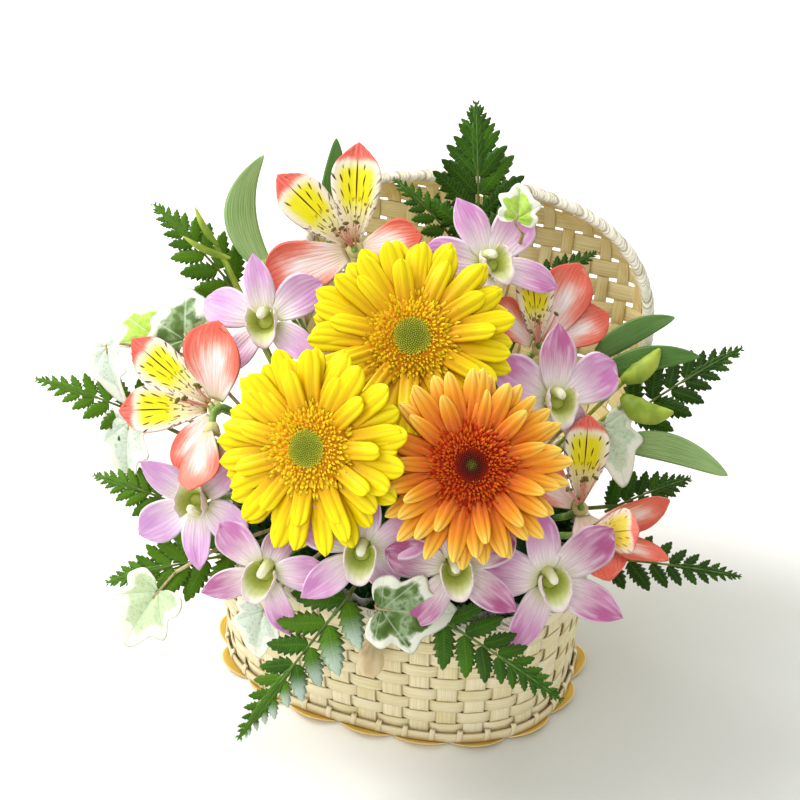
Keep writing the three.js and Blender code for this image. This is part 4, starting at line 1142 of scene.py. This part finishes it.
tepals = {
    "hub": 4, "stalk": 1.8, "thickness": 0.6, "throat": [[-5, -3, -0.5, 1], [2.2, 3.4, 4.2, 3.2]],
    "streaked": outlineOf(1.1, 0.4, 0.18), "spoon": outlineOf(1.0, 0.34, 0.24),
}


def ownNumber(seed):
    # a random number of its own for each seed
    return addNode(seed.tree, "TexWhiteNoise", 0, {"W": seed}, noise_dimensions="1D")


def streaks(given):
    # Dashes in columns along a petal. Each cell of columns and rows holds one, shifted and sized by its own
    # number, as a lens half width * (1 - (distance along / half length) ** 2). The outer ones slant outward,
    # the middle one is long, and small dots crowd toward the throat.
    u, across, _ = split(given["UV"])
    x = (across - 0.5) * 6.6
    cell = x.math("ROUND")
    seed = given["Tint"].math("MULTIPLY_ADD", 19.0, cell)
    y = u.math("MULTIPLY_ADD", 6.8, ownNumber(seed))
    row = y.math("FLOOR")
    along = y - row - 0.5
    side = abs(x - cell - cell * along * 0.3)
    number = ownNumber(row.math("MULTIPLY_ADD", 7.3, seed))
    lens = 1.0 - (abs(along) / number.math("MULTIPLY_ADD", 0.2, 0.26)) ** 2.0
    wide = fade(u, 0.2, 0.7, 0.07, 0.12) * lens * fade(number, 0.2, 0.26)
    short = fade(wide - side, -0.02, 0.02) * fade(u, 0.16, 0.24) * fade(u, 0.66, 0.72, 1.0, 0.0)
    lens = 1.0 - abs((u - 0.53) / 0.24) ** 2.0
    stripe = fade(lens * 0.11 - abs(x), -0.02, 0.02)
    upper = abs(x).math("LESS_THAN", 0.5) * u.math("GREATER_THAN", 0.29)
    mixed = addNode(upper.tree, "Mix", 0, {0: upper, 2: short, 3: stripe}, data_type="FLOAT")
    dots = fade(noise(stretched(given["UV"], (26.0, 13.0, 1.0)), 1.0, 0.0), 0.62, 0.68)
    return {"Mask": mixed.math("MAXIMUM", dots * fade(u, 0.3, 0.42, 0.8, 0.0))}


streakGroup = newGroup("tepalStreaks", streaks, Tint=0.5)
stamens = {"count": 6, "spread": [60, 180], "length": [15, 21], "filament": 0.45, "anther": [1.6, 0.95]}


def streakedPaint(given):
    # green at the base, yellow along its middle, a coral tip and dark dashes
    stops = {
        0.0: "#a9a05a", 0.12: "#e6d5b6", 0.24: "#f5efa6",
        0.36: "#f6ea18", 0.62: "#f6ec2c", 0.73: "#fbf4da",
    }
    tip = fade(given.mottle * 0.03 + given.side * -0.06 + given.along, 0.7, 0.79)
    point = fade(given.along, 0.965, 0.99) * fade(given.side, 0.0, 0.3, 1.0, 0.0)
    mask = useGroup(streakGroup, given.uv, Tint=given.tint)["Mask"]
    return over(
        ramp(given.along, stops), (fade(given.side, 0.5, 0.95), "#fbf2dc"),
        (tip, over("#ec5648", (given.mottle, "#f38878"))), (point, "#8d5a34"),
        (given.under * 0.25, "#f0b09a"), (mask * (1.0 - given.under * 0.4), "#5c0f10"),
    )


def spoonPaint(given):
    # coral over the upper part and the edges, running into the white middle in streaks
    outer = fade(given.side, 0.1, 1.0) * fade(given.along, 0.05, 0.5)
    edge = outer.math("MAXIMUM", fade(given.along, 0.3, 0.9))
    patch = noise(stretched(given.uv, (1.6, 2.6, 1.0)), 1.3, 3.0)
    edge = edge.math("ADD", patch * 1.3 - 0.68, clamp=True)
    streaked = (given.mottle * 0.26).math("ADD", edge * 0.86, clamp=True)
    green = fade(given.side, 0.0, 0.25, 1.0, 0.0) * fade(given.along, 0.93, 1.0)
    return over(
        ramp(streaked, {0.06: "#fbf0ec", 0.3: "#f6c8bc", 0.58: "#ec8d7a", 0.95: "#e0604c"}),
        (given.mask * 0.16, "#c9806a"), (fade(given.along, 0.0, 0.2, 0.7, 0.0), "#d6cf9a"),
        (green * 0.6, "#8c9a4e"), (given.under * 0.3, "#ef9a88"),
    )


def stamenPaint(given):
    # spare is 0 on the throat, 0.4 on filaments and 1 on anthers
    return ramp(given.spare, {0.0: "#cfc789", 0.4: "#e8a08c", 1.0: "#6f6a2c"})


def leafPaint(given):
    # spare runs from a dark leaf to a pale one, with darker veins and a soft bloom
    deep = over("#234c08", (given.spare, "#6c9a48"))
    shine = given.mottle * (given.spare * 0.6)
    return over(
        "#2f6208", (given.spare, "#a2cc78"), (given.mask * 0.45, deep), (shine, "#cfdcae"),
        (given.under * 0.3, "#8fb070"),
    )


streakedPetal = petalLook("tepalStreaked", streakedPaint, (7.0, 0.1, 4.0), 0.45)
spoonPetal = petalLook("tepalOuter", spoonPaint, (11.0, 0.12, 3.0), 0.45)
stamenLook = petalLook("stamens", stamenPaint, (3.0, 0.1, 2.0))
longLeafLook = petalLook("longLeaves", leafPaint, (13.0, 0.04, 3.0), 0.34)


def tepalSheets(bloom, rows, kind, curl, seed):
    # Petals cupped by 0.012 * v**2, v across in mm, with ribs along them and edges that ripple as
    # |s|**3 * sin(7 u + phase + 2.2 s). The streaked ones are also folded up as 0.9 * |s|.
    spin, opening, length, width = np.array(rows, float).T
    count, outline = len(spin), tepals[kind]
    rng = np.random.default_rng(seed)
    petals = [spin, opening, curl, length, width * 0.96]
    width, phase = column(petals[-1]), column(rng.uniform(0, 6.28, count))

    def relief(u, s, number):
        v = s * outline(u) * width / 2
        ripple = (1.2 if kind == "spoon" else 0.5) * np.abs(s) ** 3 * np.sin(7 * u + phase + 2.2 * s)
        ribs = 0.12 * np.cos((11 if kind == "spoon" else 5) * np.pi * s)
        keel = 0.9 * np.abs(s) if kind == "streaked" else 0
        return 0.012 * v**2 + (ripple + ribs + keel) * outline(u)

    sheets = petalSheets(bloom, petals, outline, tepals["hub"], relief, 0.1, 22, 21)
    return shells(sheets, tepals["thickness"], rng.random(count))


def stamenTubes(bloom, seed, share):
    # filaments that rise from a narrow throat and bend out, each with an anther across its tip
    rng = np.random.default_rng(seed)
    count, (reach, thick) = stamens["count"], stamens["anther"]
    turn = np.radians(rng.uniform(*stamens["spread"], count))[:, None]
    t = np.linspace(0, 1, 12)[None, :]
    length = rng.uniform(*stamens["length"], count)[:, None] * share
    out = length * (0.12 + 0.42 * t**1.8)
    path = np.stack([out * np.cos(turn), out * np.sin(turn), length * (t - 0.12 * t**3) - 1], -1)
    across = np.stack([-np.sin(turn), np.cos(turn), 0 * turn + 0.6], -1)
    step = np.linspace(-reach, reach, 7)[None, :, None] * across
    radii = thick * np.sqrt(np.clip(1 - np.linspace(-1, 1, 7) ** 2, 0.03, 1))
    return [
        tubes(fromBloom(bloom, path), stamens["filament"], 6, spare=0.4),
        axisTube(bloom, *tepals["throat"], 16),
        tubes(fromBloom(bloom, path[:, -1:] + step), radii, 8, spare=1.0),
    ]


def turnAbout(v, axis, angle):
    # v * cos(angle) + axis x v * sin(angle) + axis * (axis . v) * (1 - cos(angle))
    c, s = math.cos(angle), math.sin(angle)
    return v * c + np.cross(axis, v) * s + axis * np.dot(axis, v) * (1 - c)


def leafSpine(leaf, t):
    # from end to end, drawn toward its middle moved by the bow
    a, b = at(leaf["from"]), at(leaf["to"])
    return quadratic(a, (a + b) / 2 + np.array(leaf["bow"]) * mm, b, t)


def longLeaf(leaf):
    # A lance shape along its spine, facing the viewer turned about its own line. Its face is folded by
    # 0.1 * |v| - 0.02 * v**2, v across in mm, ribbed by cos(6 pi s) and twisted by s * sin(3.4 u + 0.5).
    along = unit(at(leaf["to"]) - at(leaf["from"]))
    outward = turnAbout(forwardDir, along, math.radians(leaf.get("facing", 0)))
    across = unit(np.cross(outward, along))
    normal = np.cross(along, across)
    u = (1 - (1 - np.linspace(0, 1, 26)) ** 1.2)[:, None]
    s = np.linspace(-1, 1, 13)[None, :]
    half = leaf["width"] / 2 * (0.16 * (1 - u) ** 2 + 0.9 * outlineOf(0.55, 0.72, 0)(u))
    v = s * half
    fold = -0.02 * v**2 + 0.1 * np.abs(v) + 0.14 * np.cos(6 * np.pi * s) * np.minimum(1, half / 5)
    fold = fold + 0.8 * s * np.sin(3.4 * u + 0.5)
    points = leafSpine(leaf, u[..., None]) + (across * v[..., None] + normal * fold[..., None]) * mm
    return shells(points[None], 0.6, 0.5, spare=leaf["pale"])


def footStalk(start, low, foot, drop, radius, tint=0.5):
    # from a leaf or bud down into the foam, hanging back by drop (mm)
    middle = low * 0.6 + foot * 0.4 - forwardDir * drop * mm
    return tubes(quadratic(start, middle, foot, np.linspace(0, 1, 10)[:, None])[None], radius, 7, tint)


def budShape(bud, foot):
    # an egg along its own bowed line, pointed at its tip, on a stalk down into the foam
    a, b = at(bud["from"]), at(bud["to"])
    t = np.linspace(0, 1, 22)
    bow = np.cross(forwardDir, unit(b - a)) * np.sin(np.pi * t)[:, None] * 0.06 * np.linalg.norm(b - a)
    path = a + (b - a) * t[:, None] + bow * bud.get("bow", 1)
    radii = bud["width"] / 2 * np.interp(t, [0, 0.1, 0.34, 0.7, 0.9, 1], [0.3, 0.62, 1, 0.8, 0.42, 0.12])
    return [tubes(path[None], radii, 14, 0.4), footStalk(path[3], a, foot, 3, 1.1, 0.6)]


def makeAlstroemerias():
    for number, (key, one) in enumerate(alstroemerias.items()):
        bloom = bloomFrame(one["place"], one["turn"], one["lift"])
        name, curl = f"alstroemeria_{key}", one.get("curl", 18)
        leaves, parts = one.get("leaves", []), {}
        if "streaked" in one:
            sheets = tepalSheets(bloom, one["streaked"], "streaked", curl, 70 + number)
            parts["streaked"] = sheets, streakedPetal
        parts["outer"] = tepalSheets(bloom, one["spoon"], "spoon", curl, 80 + number), spoonPetal
        parts["stamens"] = stamenTubes(bloom, 90 + number, 0.4 if curl < 18 else 1), stamenLook
        foot = foamPoint(fromBloom(bloom, [0, 0, -tepals["hub"]]))
        green = [bloomStem(bloom, -1, tepals["stalk"])]
        green.extend(footStalk(leafSpine(leaf, 0.08), at(leaf["from"]), foot, 4, 1.3) for leaf in leaves)
        for bud in one.get("buds", []):
            green.extend(budShape(bud, foot))
        if leaves:
            parts["leaves"] = [longLeaf(leaf) for leaf in leaves], longLeafLook
        parts["stalk"] = green, stemGreen
        for words, (part, look) in parts.items():
            dress(f"{name}_{words}", part, look, "petal_coral", name)


makeAlstroemerias()
print("the alstroemerias are made")

# Dendrobiums: three sepals, two petals, a frilled lip and a short column
orchids = {
    # place, turn, lift, spin, size, how far from lavender to rose, the deeper rose partly painted shade on
    # the blooms in shade and most on front_right, and which sepals bend back
    "upper_left": [[-67, 39, 1.4], -10, 6, 8, 31, 0.1], "top_right": [[45, 68, -8], 18, 18, 24, 34, 0.4],
    "right": [[77, -1, 8], 16, 8, 2, 36, 0.7, 2], "left": [[-100, -50, 8], -18, -8, 180, 31, 0.2],
    "front_left": [[-65, -83, 32], -14, -12, -26, 29, 0.6, 0],
    "front_middle": [[-18, -72, 48], -4, -8, -6, 32, 0.5, 2],
    "front_right": [[26, -80, 44], 4, -10, 10, 32, 1.0], "low_right": [[72, -87, 30], 14, -8, 16, 36, 0.75],
}
orchidForm = {
    # spin and open angle of each, with the width share and outline of its kind; the cup behind the bloom is
    # heights on its axis and radii
    "sepals": [[[90, 66], [222, 68], [318, 68]], 0.5, outlineOf(0.6, 0.5, 0.2)],
    "petals": [[[28, 72], [152, 72]], 0.66, outlineOf(0.7, 0.36, 0.14)],
    "hub": 4.5, "stalk": 1.3, "cup": [[-7, -5, -2.5, -0.8], [1.4, 2.6, 4.0, 3.6]],
    "lip": {"wrap": 140, "foot": 2.2, "wall": 6.2, "cup": 12, "lobe": 6.5},
}


def orchidPaint(given):
    # spare runs from pale lavender to rose, its deepest rose at 1.0 a painted shade; the base is white over
    # a breath of green, the rim nearly white
    body = fade(given.mottle * 0.14 + given.along, 0.1, 0.68)
    pink = ramp(given.spare, {0.0: "#dcaae0", 0.45: "#d68cc6", 0.8: "#c0689a", 1.0: "#a04c74"})
    cloud = noise(stretched(given.uv, (1.2, 2.4, 1.0)), 1.7, 2.0)
    return over(
        "#fbf6f4", (body, pink), (fade(cloud, 0.42, 0.7, 0.0, 0.45), "#f6dcee"),
        (given.mask * 0.1, "#b86fae"), (fade(given.side, 0.82, 1.0, 0.0, 0.7), "#fdf4fa"),
        (fade(given.along, 0.0, 0.2, 0.75, 0.0), "#dfe3a6"), (given.under * 0.35, "#f0d0e6"),
    )


def lipPaint(given):
    # green at its foot to a white frill with a lavender edge
    stops = {0.0: "#9fab3c", 0.4: "#c0ca66", 0.7: "#dbe09c", 0.86: "#f4f2da", 1.0: "#f3d4ea"}
    return over(ramp(given.along, stops), (given.mask * 0.12, "#b2a84a"))


def columnPaint(given):
    # green at its foot to a white tip
    return ramp(given.along, {0.0: "#b3bd4c", 0.5: "#d6dc92", 1.0: "#f6f4da"})


orchidLook = petalLook("orchidTepals", orchidPaint, (9.0, 0.12, 3.0), 0.4)
lipLook = petalLook("orchidLip", lipPaint, (11.0, 0.2, 3.0), 0.4)
columnLook = petalLook("orchidColumn", columnPaint, (3.0, 0.1, 2.0))


def orchidStar(bloom, size, roseAndShade, bent, seed):
    # Sepals and petals cupped by 0.014 * v**2, v across in mm, with a crease exp(-(s / 0.16)**2) along the
    # middle, rippled edges and a twist * v * u. A bent sepal opens 44 degrees further and is shorter.
    rng = np.random.default_rng(seed)
    parts = []
    for kind in ("sepals", "petals"):
        rows, share, outline = orchidForm[kind]
        spin, opening = np.array(rows, float).T
        count = len(spin)
        opening = opening + rng.uniform(-4, 4, count)
        curl = 18 + rng.uniform(-22, 26, count)
        length = np.full(count, float(size))
        if kind == "sepals":
            opening[bent] += 44
            curl[bent] = 24
            length[bent] *= 0.72
        width = size * share * 1.04
        phase, twist = (column(rng.uniform(low, high, count)) for low, high in ((0, 6.28), (-0.3, 0.3)))

        def relief(u, s, number):
            v = s * outline(u) * width / 2
            ripple = 1.3 * np.abs(s) ** 2.5 * np.sin(6 * u + phase + 1.6 * s)
            return 0.014 * v**2 + (ripple - 0.5 * np.exp(-((s / 0.16) ** 2))) * outline(u) + twist * v * u

        petals = [spin, opening, curl, length, width]
        sheets = petalSheets(bloom, petals, outline, orchidForm["hub"], relief, 0.1, 20, 17)
        tone = np.clip(roseAndShade + rng.uniform(-0.18, 0.18, count), 0, 1)
        parts.append(shells(sheets, 0.7, rng.random(count), spare=tone))
    return parts


def orchidLip(bloom, seed):
    # The lip wraps round the column as a cup, open above it, and runs out in front into a frilled lobe:
    # radius = foot + wall * sin(quarter turn of h) and height = cup * h, h from its foot to its edge.
    form = orchidForm["lip"]
    phase = np.random.default_rng(seed).uniform(0, 6.28)
    h = np.linspace(0, 1, 24)[:, None]
    turn = np.radians(np.linspace(-form["wrap"], form["wrap"], 49))[None, :]
    front = np.exp(-((turn / 0.62) ** 2))
    side = np.exp(-(((np.abs(turn) - 1.5) / 0.55) ** 2))
    spread = np.clip(h - 0.55, 0, 1) / 0.45
    out = form["foot"] + form["wall"] * np.sin(h * np.pi / 2) ** 0.8
    out = out + form["lobe"] * front * spread**1.3 - 1.2 * side * spread
    frill = 0.8 * np.clip(h - 0.78, 0, 1) / 0.22 * np.sin(9 * turn + phase)
    up = form["cup"] * h - 1 - 3.4 * front * spread**2 + 2.0 * side * spread + frill
    points = np.stack([out * np.sin(turn), -out * np.cos(turn), up], -1)
    return shells(fromBloom(bloom, points)[None, :, ::-1], 0.7, 0.5)


def orchidColumn(bloom):
    # a round bar that rises behind the lip and leans over it, and the throat below
    path = [[0, 4, -2], [0, 4.8, 1], [0, 4.6, 4], [0, 3.6, 7], [0, 2.0, 9.6], [0, 0.6, 10.6]]
    core = tubes(fromBloom(bloom, path)[None], [2.6, 2.9, 2.6, 2.4, 2.2, 1.2], 14)
    core[3][:, 0] = np.clip(core[3][:, 0] / 1.3, 0, 1)
    throat = tubes(fromBloom(bloom, [[0, 0, -1.5], [0, 0, 0.2], [0, 0.6, 1.6]])[None], [2.6, 4.4, 3.6], 14)
    throat[3][:, 0] = 0.1
    return [core, throat]


def makeOrchids():
    for number, (key, (place, turn, lift, spin, size, roseAndShade, *bent)) in enumerate(orchids.items()):
        bloom = bloomFrame(place, turn, lift, spin)
        cup = axisTube(bloom, *orchidForm["cup"], 14)
        for words, part, look in (
            ("tepals", orchidStar(bloom, size, roseAndShade, bent, 100 + number), orchidLook),
            ("lip", orchidLip(bloom, 120 + number), lipLook),
            ("column", orchidColumn(bloom), columnLook),
            ("stalk", [bloomStem(bloom, 1, orchidForm["stalk"]), cup], stemGreen),
        ):
            dress(f"orchid_{key}_{words}", part, look, "petal_lavender", f"orchid_{key}")


makeOrchids()
print("the dendrobiums are made")

budSprays = {
    "right": [
        {"from": [112, 2, -6], "to": [136, -6, 4], "width": 13, "bow": -3},
        {"from": [112, 10, -12], "to": [131, 26, -8], "width": 11, "bow": -2},
    ],
    "upper_left": [
        {"from": [-86, 72, -14], "to": [-110, 83, -12], "width": 4},
        {"from": [-92, 78, -14], "to": [-104, 98, -14], "width": 4},
    ],
}


def makeBuds():
    for key, buds in budSprays.items():
        foot = foamPoint(at(buds[0]["from"]))
        parts = [part for bud in buds for part in budShape(bud, foot)]
        dress(f"buds_{key}_green", parts, budGreen, "bud", f"buds_{key}")


makeBuds()

# Ivy: each spray's route, then its leaves as place, size, turn, lift, spin, spare value and, if round, shape
ivies = {
    "left": [
        [[-126, 26, -14], [-100, 16, -18]],
        [[-108, 30, -4], 30, -6, 10, 4, 0.1, "round"],
        [[-124, 31, -16], 34, -10, 24, 52, 0.45],
        [[-148, 27, -12], 31, -44, 0, 186, 0.95],
    ],
    "left_low": [[[-134, -9, -17], [-104, -12, -20]], [[-137, -11, -14], 36, -34, 6, 172, 1.0]],
    "corner": [[[-112, -86, 2], [-90, -74, 0]], [[-120, -95, 6], 37, -14, 4, 143, 0.72]],
    "front": [[[-11, -96, 42], [-8, -80, 28]], [[-9, -99, 48], 40, 4, -8, 262, 0.15]],
    "front_left": [[[-66, -100, 22], [-52, -86, 14]], [[-66, -102, 24], 30, -24, -6, 158, 0.8]],
    "right": [[[98, -11, -7], [84, -14, -16]], [[102, -13, -5], 34, 18, 14, 204, 0.75]],
    "top": [[[62, 84, -8], [56, 60, -28]], [[58, 90, 4], 23, 10, 12, -13, 0.45]],
}
ivyForm = {
    # how much its sides lift, how far its outline is softened, how deep it is scalloped, and how far out and
    # up its half outline runs from the stalk to the tip, in shares of the leaf's length
    "pointed": [
        0.22, 8, 0,
        [0.1, 0.34, 0.46, 0.35, 0.52, 0.27, 0.17, 0], [-0.1, -0.15, 0.05, 0.2, 0.45, 0.54, 0.8, 1],
    ],
    "round": [
        0.06, 14, 0.03,
        [0.14, 0.5, 0.62, 0.54, 0.6, 0.38, 0.26, 0], [-0.3, -0.2, 0.1, 0.26, 0.46, 0.58, 0.84, 1],
    ],
}


def ivyLeaf(bloom, size, kind, shape="pointed"):
    # The outline turns about the stalk: its radius at an angle is read off the half outline, softened, and
    # the sheet is a fan of radii with a notch at the stalk.
    cup, wide, scallop, *half = ivyForm[shape]
    x, y = np.array(half, float)[:, ::-1]
    angle, radius = np.arctan2(x, y), np.hypot(x, y)
    turn, fine = (np.linspace(-angle[-1], angle[-1], steps) for steps in (97, 385))
    edge = np.pad(np.interp(np.abs(fine), angle, radius), wide, mode="edge")
    soft = np.convolve(edge, np.ones(2 * wide + 1) / (2 * wide + 1), "valid")
    edge = np.interp(turn, fine, soft) * (1 + scallop * np.cos(13 * turn))
    share = np.linspace(0.04, 1, 18)[:, None]
    x = share * edge * np.sin(turn) * size
    y = share * edge * np.cos(turn) * size
    rib = np.minimum.reduce([np.abs(np.degrees(turn) - a) for a in (-95, -48, 0, 48, 95)])
    pucker = 0.9 * np.minimum(rib / 16, 1) * np.sin(np.pi * share) - 1.0 * share**3 * np.cos(turn * 7)
    z = cup * np.abs(x) - 0.3 * y**2 / size + pucker
    points = fromBloom(bloom, np.stack([x, y, z], -1)[::-1])[None]
    return shells(points, 0.6, 0.5, gridUV(share[::-1, 0], (turn + angle[-1]) / (2 * angle[-1])), kind)


def ivyPaint(given):
    # spare picks grey green under 0.3, lime to 0.6 and white over 0.8, each inside a cream border
    turn = (given.across - 0.5) * 270.0
    off = abs(turn - (turn / 47.0).math("ROUND") * 47.0) * given.along
    vein = fade(off, 0.4, 1.6, 1.0, 0.0)
    patch = noise(given.place, 120.0, 3.0, 0.5)
    rough = noise(given.place, 420.0, 3.0, 0.6)
    colour = over(
        ramp(patch, {0.36: "#3f6022", 0.47: "#5f8040", 0.57: "#9cb186", 0.66: "#4a6c2e"}),
        (fade(given.spare, 0.3, 0.5), ramp(rough, {0.3: "#9ecb2e", 0.7: "#c3df62"})),
        (fade(given.spare, 0.6, 0.8), ramp(rough, {0.3: "#b4cab4", 0.55: "#dae4d2", 0.75: "#98b692"})),
        (fade(patch * 0.62 + given.along, 1.0, 1.12), "#f1f2df"), (vein * 0.4, "#d3dfc2"),
        (given.under * 0.35, "#c6d4b6"),
    )
    return colour, rough - vein, 0.35, 0.0008


ivyLook = newLook("ivyLeaves", ivyPaint, 0.42, soft=0.05)


def smoothPath(points, steps=20):
    # a Catmull-Rom curve through the points, its ends doubled
    padded = np.concatenate([[2 * points[0] - points[1]], points, [2 * points[-1] - points[-2]]])
    t = np.linspace(0, len(points) - 1, steps)
    k = np.minimum(t.astype(int), len(points) - 2)
    f = (t - k)[:, None]
    p0, p1, p2, p3 = (padded[k + i] for i in range(4))
    bend = (2 * p0 - 5 * p1 + 4 * p2 - p3) * f**2 + (3 * p1 - p0 - 3 * p2 + p3) * f**3
    return 0.5 * (2 * p1 + (p2 - p0) * f + bend)


def makeIvies():
    for key, (route, *rows) in ivies.items():
        path = [at(place) for place in route]
        path = np.array([*path, foamPoint(path[-1])])
        leaves, stems = [], [tubes(smoothPath(path)[None], 1.0, 8)]
        for place, size, turn, lift, spin, kind, *shape in rows:
            bloom = bloomFrame(place, turn, lift, spin)
            leaves.append(ivyLeaf(bloom, size, kind, *shape))
            nearest = path[np.argmin(np.linalg.norm(path - at(place), axis=1))]
            inside = fromBloom(bloom, [[0, size * 0.12, 0.4], [0, -2, -1]])
            stems.append(tubes(smoothPath(np.array([*inside, nearest]), 8)[None], 0.7, 7))
        dress(f"ivy_{key}_leaves", leaves, ivyLook, "ivy", f"ivy_{key}")
        dress(f"ivy_{key}_stems", stems, twigTan, "ivy", f"ivy_{key}")


makeIvies()
print("the buds and the ivy are made")

# Leatherleaf fern
ferns = {
    # where it starts and ends, width, pairs, lean of the lowest leaflets and breadth
    "top": [[42, 84, -58], [40, 158, -50], 66, 9, 50, 0.85],
    "upper_left": [[-86, 58, -30], [-127, 101, -24], 42, 8, 56, 1],
    "left": [[-128, -10, -26], [-186, 11, -15], 38, 8, 56, 1],
    "left_low": [[-112, -54, -16], [-156, -38, -14], 34, 8, 56, 1],
    "left_inner": [[-84, -30, -30], [-144, -50, -26], 36, 8, 56, 1],
    "lower_left": [[-84, -78, -8], [-148, -92, -4], 46, 9, 56, 1],
    "front_left": [[-25, -95, 34], [-78, -163, 40], 50, 9, 58, 1],
    "front_right": [[20, -106, 34], [77, -142, 52], 42, 9, 58, 1],
    "right": [[120, -8, -36], [176, 27, -22], 46, 8, 56, 1],
    "right_middle": [[108, -57, -32], [150, -40, -26], 36, 8, 56, 1],
    "lower_right": [[102, -80, -10], [172, -89, -4], 36, 9, 56, 1],
    "lid_right": [[70, 56, -54], [104, 78, -48], 28, 8, 56, 1],
    "lid_left": [[30, 84, -66], [-4, 118, -58], 32, 8, 56, 1],
}
# pale names the frond whose leaflets on one side take a painted highlight, a whitish gloss
fernForm = {"shrink": 0.86, "bow": 6, "teeth": 7, "thickness": 0.5, "pale": "front_left"}


def fernPlane(one):
    # place(x, y, lift) is x along the frond and y across, in mm, on a face bowed by 4 * bow * t * (1 - t),
    # t = x / length, with its sides lowered by 0.006 * y**2.
    a, b = at(one[0]), at(one[1])
    length = np.linalg.norm(b - a) / mm
    along = unit(b - a)
    across = unit(np.cross(forwardDir * 0.7 + np.array([0, 0, 0.3]), along))
    normal = np.cross(along, across)

    def place(x, y, lift=0.0):
        t = x / length
        z = 4 * fernForm["bow"] * t * (1 - t) - 0.006 * y**2 + lift
        return a + (x[..., None] * along + y[..., None] * across + z[..., None] * normal) * mm

    return place, length, a


def fernLeaflets(key, one, place, length, rng):
    # Leaflets in pairs, each shorter than the last by the same share: start = L' (1 - q**k) / (1 - q**n).
    # Their edges are saw teeth that point forward: the half width climbs along a tooth and drops at its end.
    width, pairs, lean0, breadth = one[2:]
    q = fernForm["shrink"]
    k = np.repeat(np.arange(pairs + 2), 2)
    mirror = np.tile([1.0, -1.0], pairs + 2)
    count = len(k)
    last = length * (1 - 0.1 / (1 + np.maximum(k - pairs, 0)))
    start = np.minimum(0.92 * length * (1 - q**k) / (1 - q**pairs), last) + 1.5
    start = start + rng.uniform(-0.6, 0.6, count)
    taper = np.clip(1.03 - start / length, 0.05, 1) ** 0.92
    reach = column(width / 2 * 1.16 * taper * np.where(k == 0, 0.9, 1.0) * rng.uniform(0.94, 1.06, count))
    lean = column(np.radians(np.maximum(lean0 - 2.4 * k, 27) + rng.uniform(-3, 3, count)))
    p = np.linspace(0, 1, 49)[None, :, None]
    s = np.linspace(-1, 1, 5)[None, None, :]
    saw = np.mod(p * column(np.where(k < 3, fernForm["teeth"], fernForm["teeth"] - 2)) + 0.02, 1)
    depth = column(np.where((k < 2) & (width > 60), 0.5, 0.36))
    half = outlineOf(0.5, 0.82, 0.06)(p) * 0.28 * breadth * (1 - depth + depth * saw)
    half = half * (1 - 0.35 * (p > 0.97))
    side, run = s * half * reach, p * reach
    bowed = side + 0.05 * np.sin(np.pi * p) * run
    c, n = np.cos(lean), np.sin(lean)
    x = column(start) + run * c + bowed * n
    y = (0.6 + run * n - bowed * c) * column(mirror)
    droop = column(rng.uniform(-0.03, 0.05, count)) * run**2 / 4
    lift = -0.16 * np.abs(side) + droop + column(rng.uniform(-0.5, 0.8, count)) * p
    points = place(np.minimum(x, length + 1), y, lift)
    right = mirror < 0
    points[right] = points[right][:, :, ::-1]
    tone = np.clip(frondTone(one) + rng.uniform(-0.22, 0.22, count), 0, 1)
    # spare picks the leaflets that take the painted highlight
    return shells(points[:, :, ::-1], fernForm["thickness"], tone, spare=(key == fernForm["pale"]) * ~right)


def frondTone(one):
    # fronds toward the light are paler than those away from it
    return 0.5 - 0.32 * one[1][0] / 150


def fernFrond(key, one, seed):
    # The leaflets, a toothed blade that widens along the outer half and closes at the tip, the rachis along
    # them and the stalk down into the foam.
    place, length, root = fernPlane(one)
    leaflets = fernLeaflets(key, one, place, length, np.random.default_rng(seed))
    t = np.linspace(0, 1, 61)[:, None]
    s = np.linspace(-1, 1, 5)[None, :]
    wing = 0.5 + 0.075 * one[2] * np.clip((t - 0.45) / 0.3, 0, 1) * np.clip((1 - t) / 0.42, 0, 1)
    wing = wing * (0.75 + 0.5 * np.mod(t * 22, 1)) * np.clip((1 - t) * 40, 0.1, 1)
    tip = place(t * length + 0 * s, s * wing, 0.3 * np.abs(s) + 0 * t)
    blade = shells(tip[None], fernForm["thickness"], frondTone(one))
    rachis = place(np.linspace(-2, length * 0.9, 24), np.zeros(24), np.full(24, 0.2))
    foot = foamPoint(root)
    low = place(np.array(length * 0.12), np.array(0.0))
    handle = smoothPath(np.array([low, root * 0.7 + foot * 0.3, foot]), 12)
    stems = [tubes(rachis[None], np.linspace(0.85, 0.3, 24), 7), tubes(handle[None], 1.1, 7)]
    return [leaflets, blade], stems


def fernPaint(given):
    # veins slant out from the midrib as |cos(pi * (16 along - 1.6 side))|**8
    slanted = given.side * -1.6 + given.along * 16.0
    vein = abs((slanted * math.pi).math("COSINE")) ** 8.0
    lines = vein.math("MAXIMUM", fade(given.side, 0.02, 0.14, 1.0, 0.0))
    # gloss is a painted highlight: a whitish sheen on those leaflets where light glances off them
    gloss = given.spare * fade(given.along, 0.25, 0.8)
    colour = over(
        ramp(noise(given.place, 70.0, 3.0), {0.3: "#1c4208", 0.7: "#38660c"}),
        # the tint layers are partly painted light and shade: frondTone makes fronds toward the lamp paler
        # and those away darker, over each leaflet's own random tone
        (fade(given.tint, 0.35, 1.0, 0.0, 0.7), "#5f8c16"),
        (fade(given.tint, 0.0, 0.5, 0.75, 0.0), "#122806"), (lines * 0.22, "#6c9a26"),
        (gloss * 0.65, "#cfe0d4"), (given.under * 0.45, "#7f9f60"),
    )
    return colour, lines * -1.0, 0.35, 0.0006


fernLook = newLook("fernLeaflets", fernPaint, 0.36, 0.13)
rachisLook = plantLook("fernStems", "#5d7a34", "#3f5a22")


def makeFerns():
    for number, (key, one) in enumerate(ferns.items()):
        blades, stems = fernFrond(key, one, 140 + number)
        dress(f"fern_{key}_leaflets", blades, fernLook, "fern", f"fern_{key}")
        dress(f"fern_{key}_stem", stems, rachisLook, "fern", f"fern_{key}")


makeFerns()
print("the fern fronds are made")
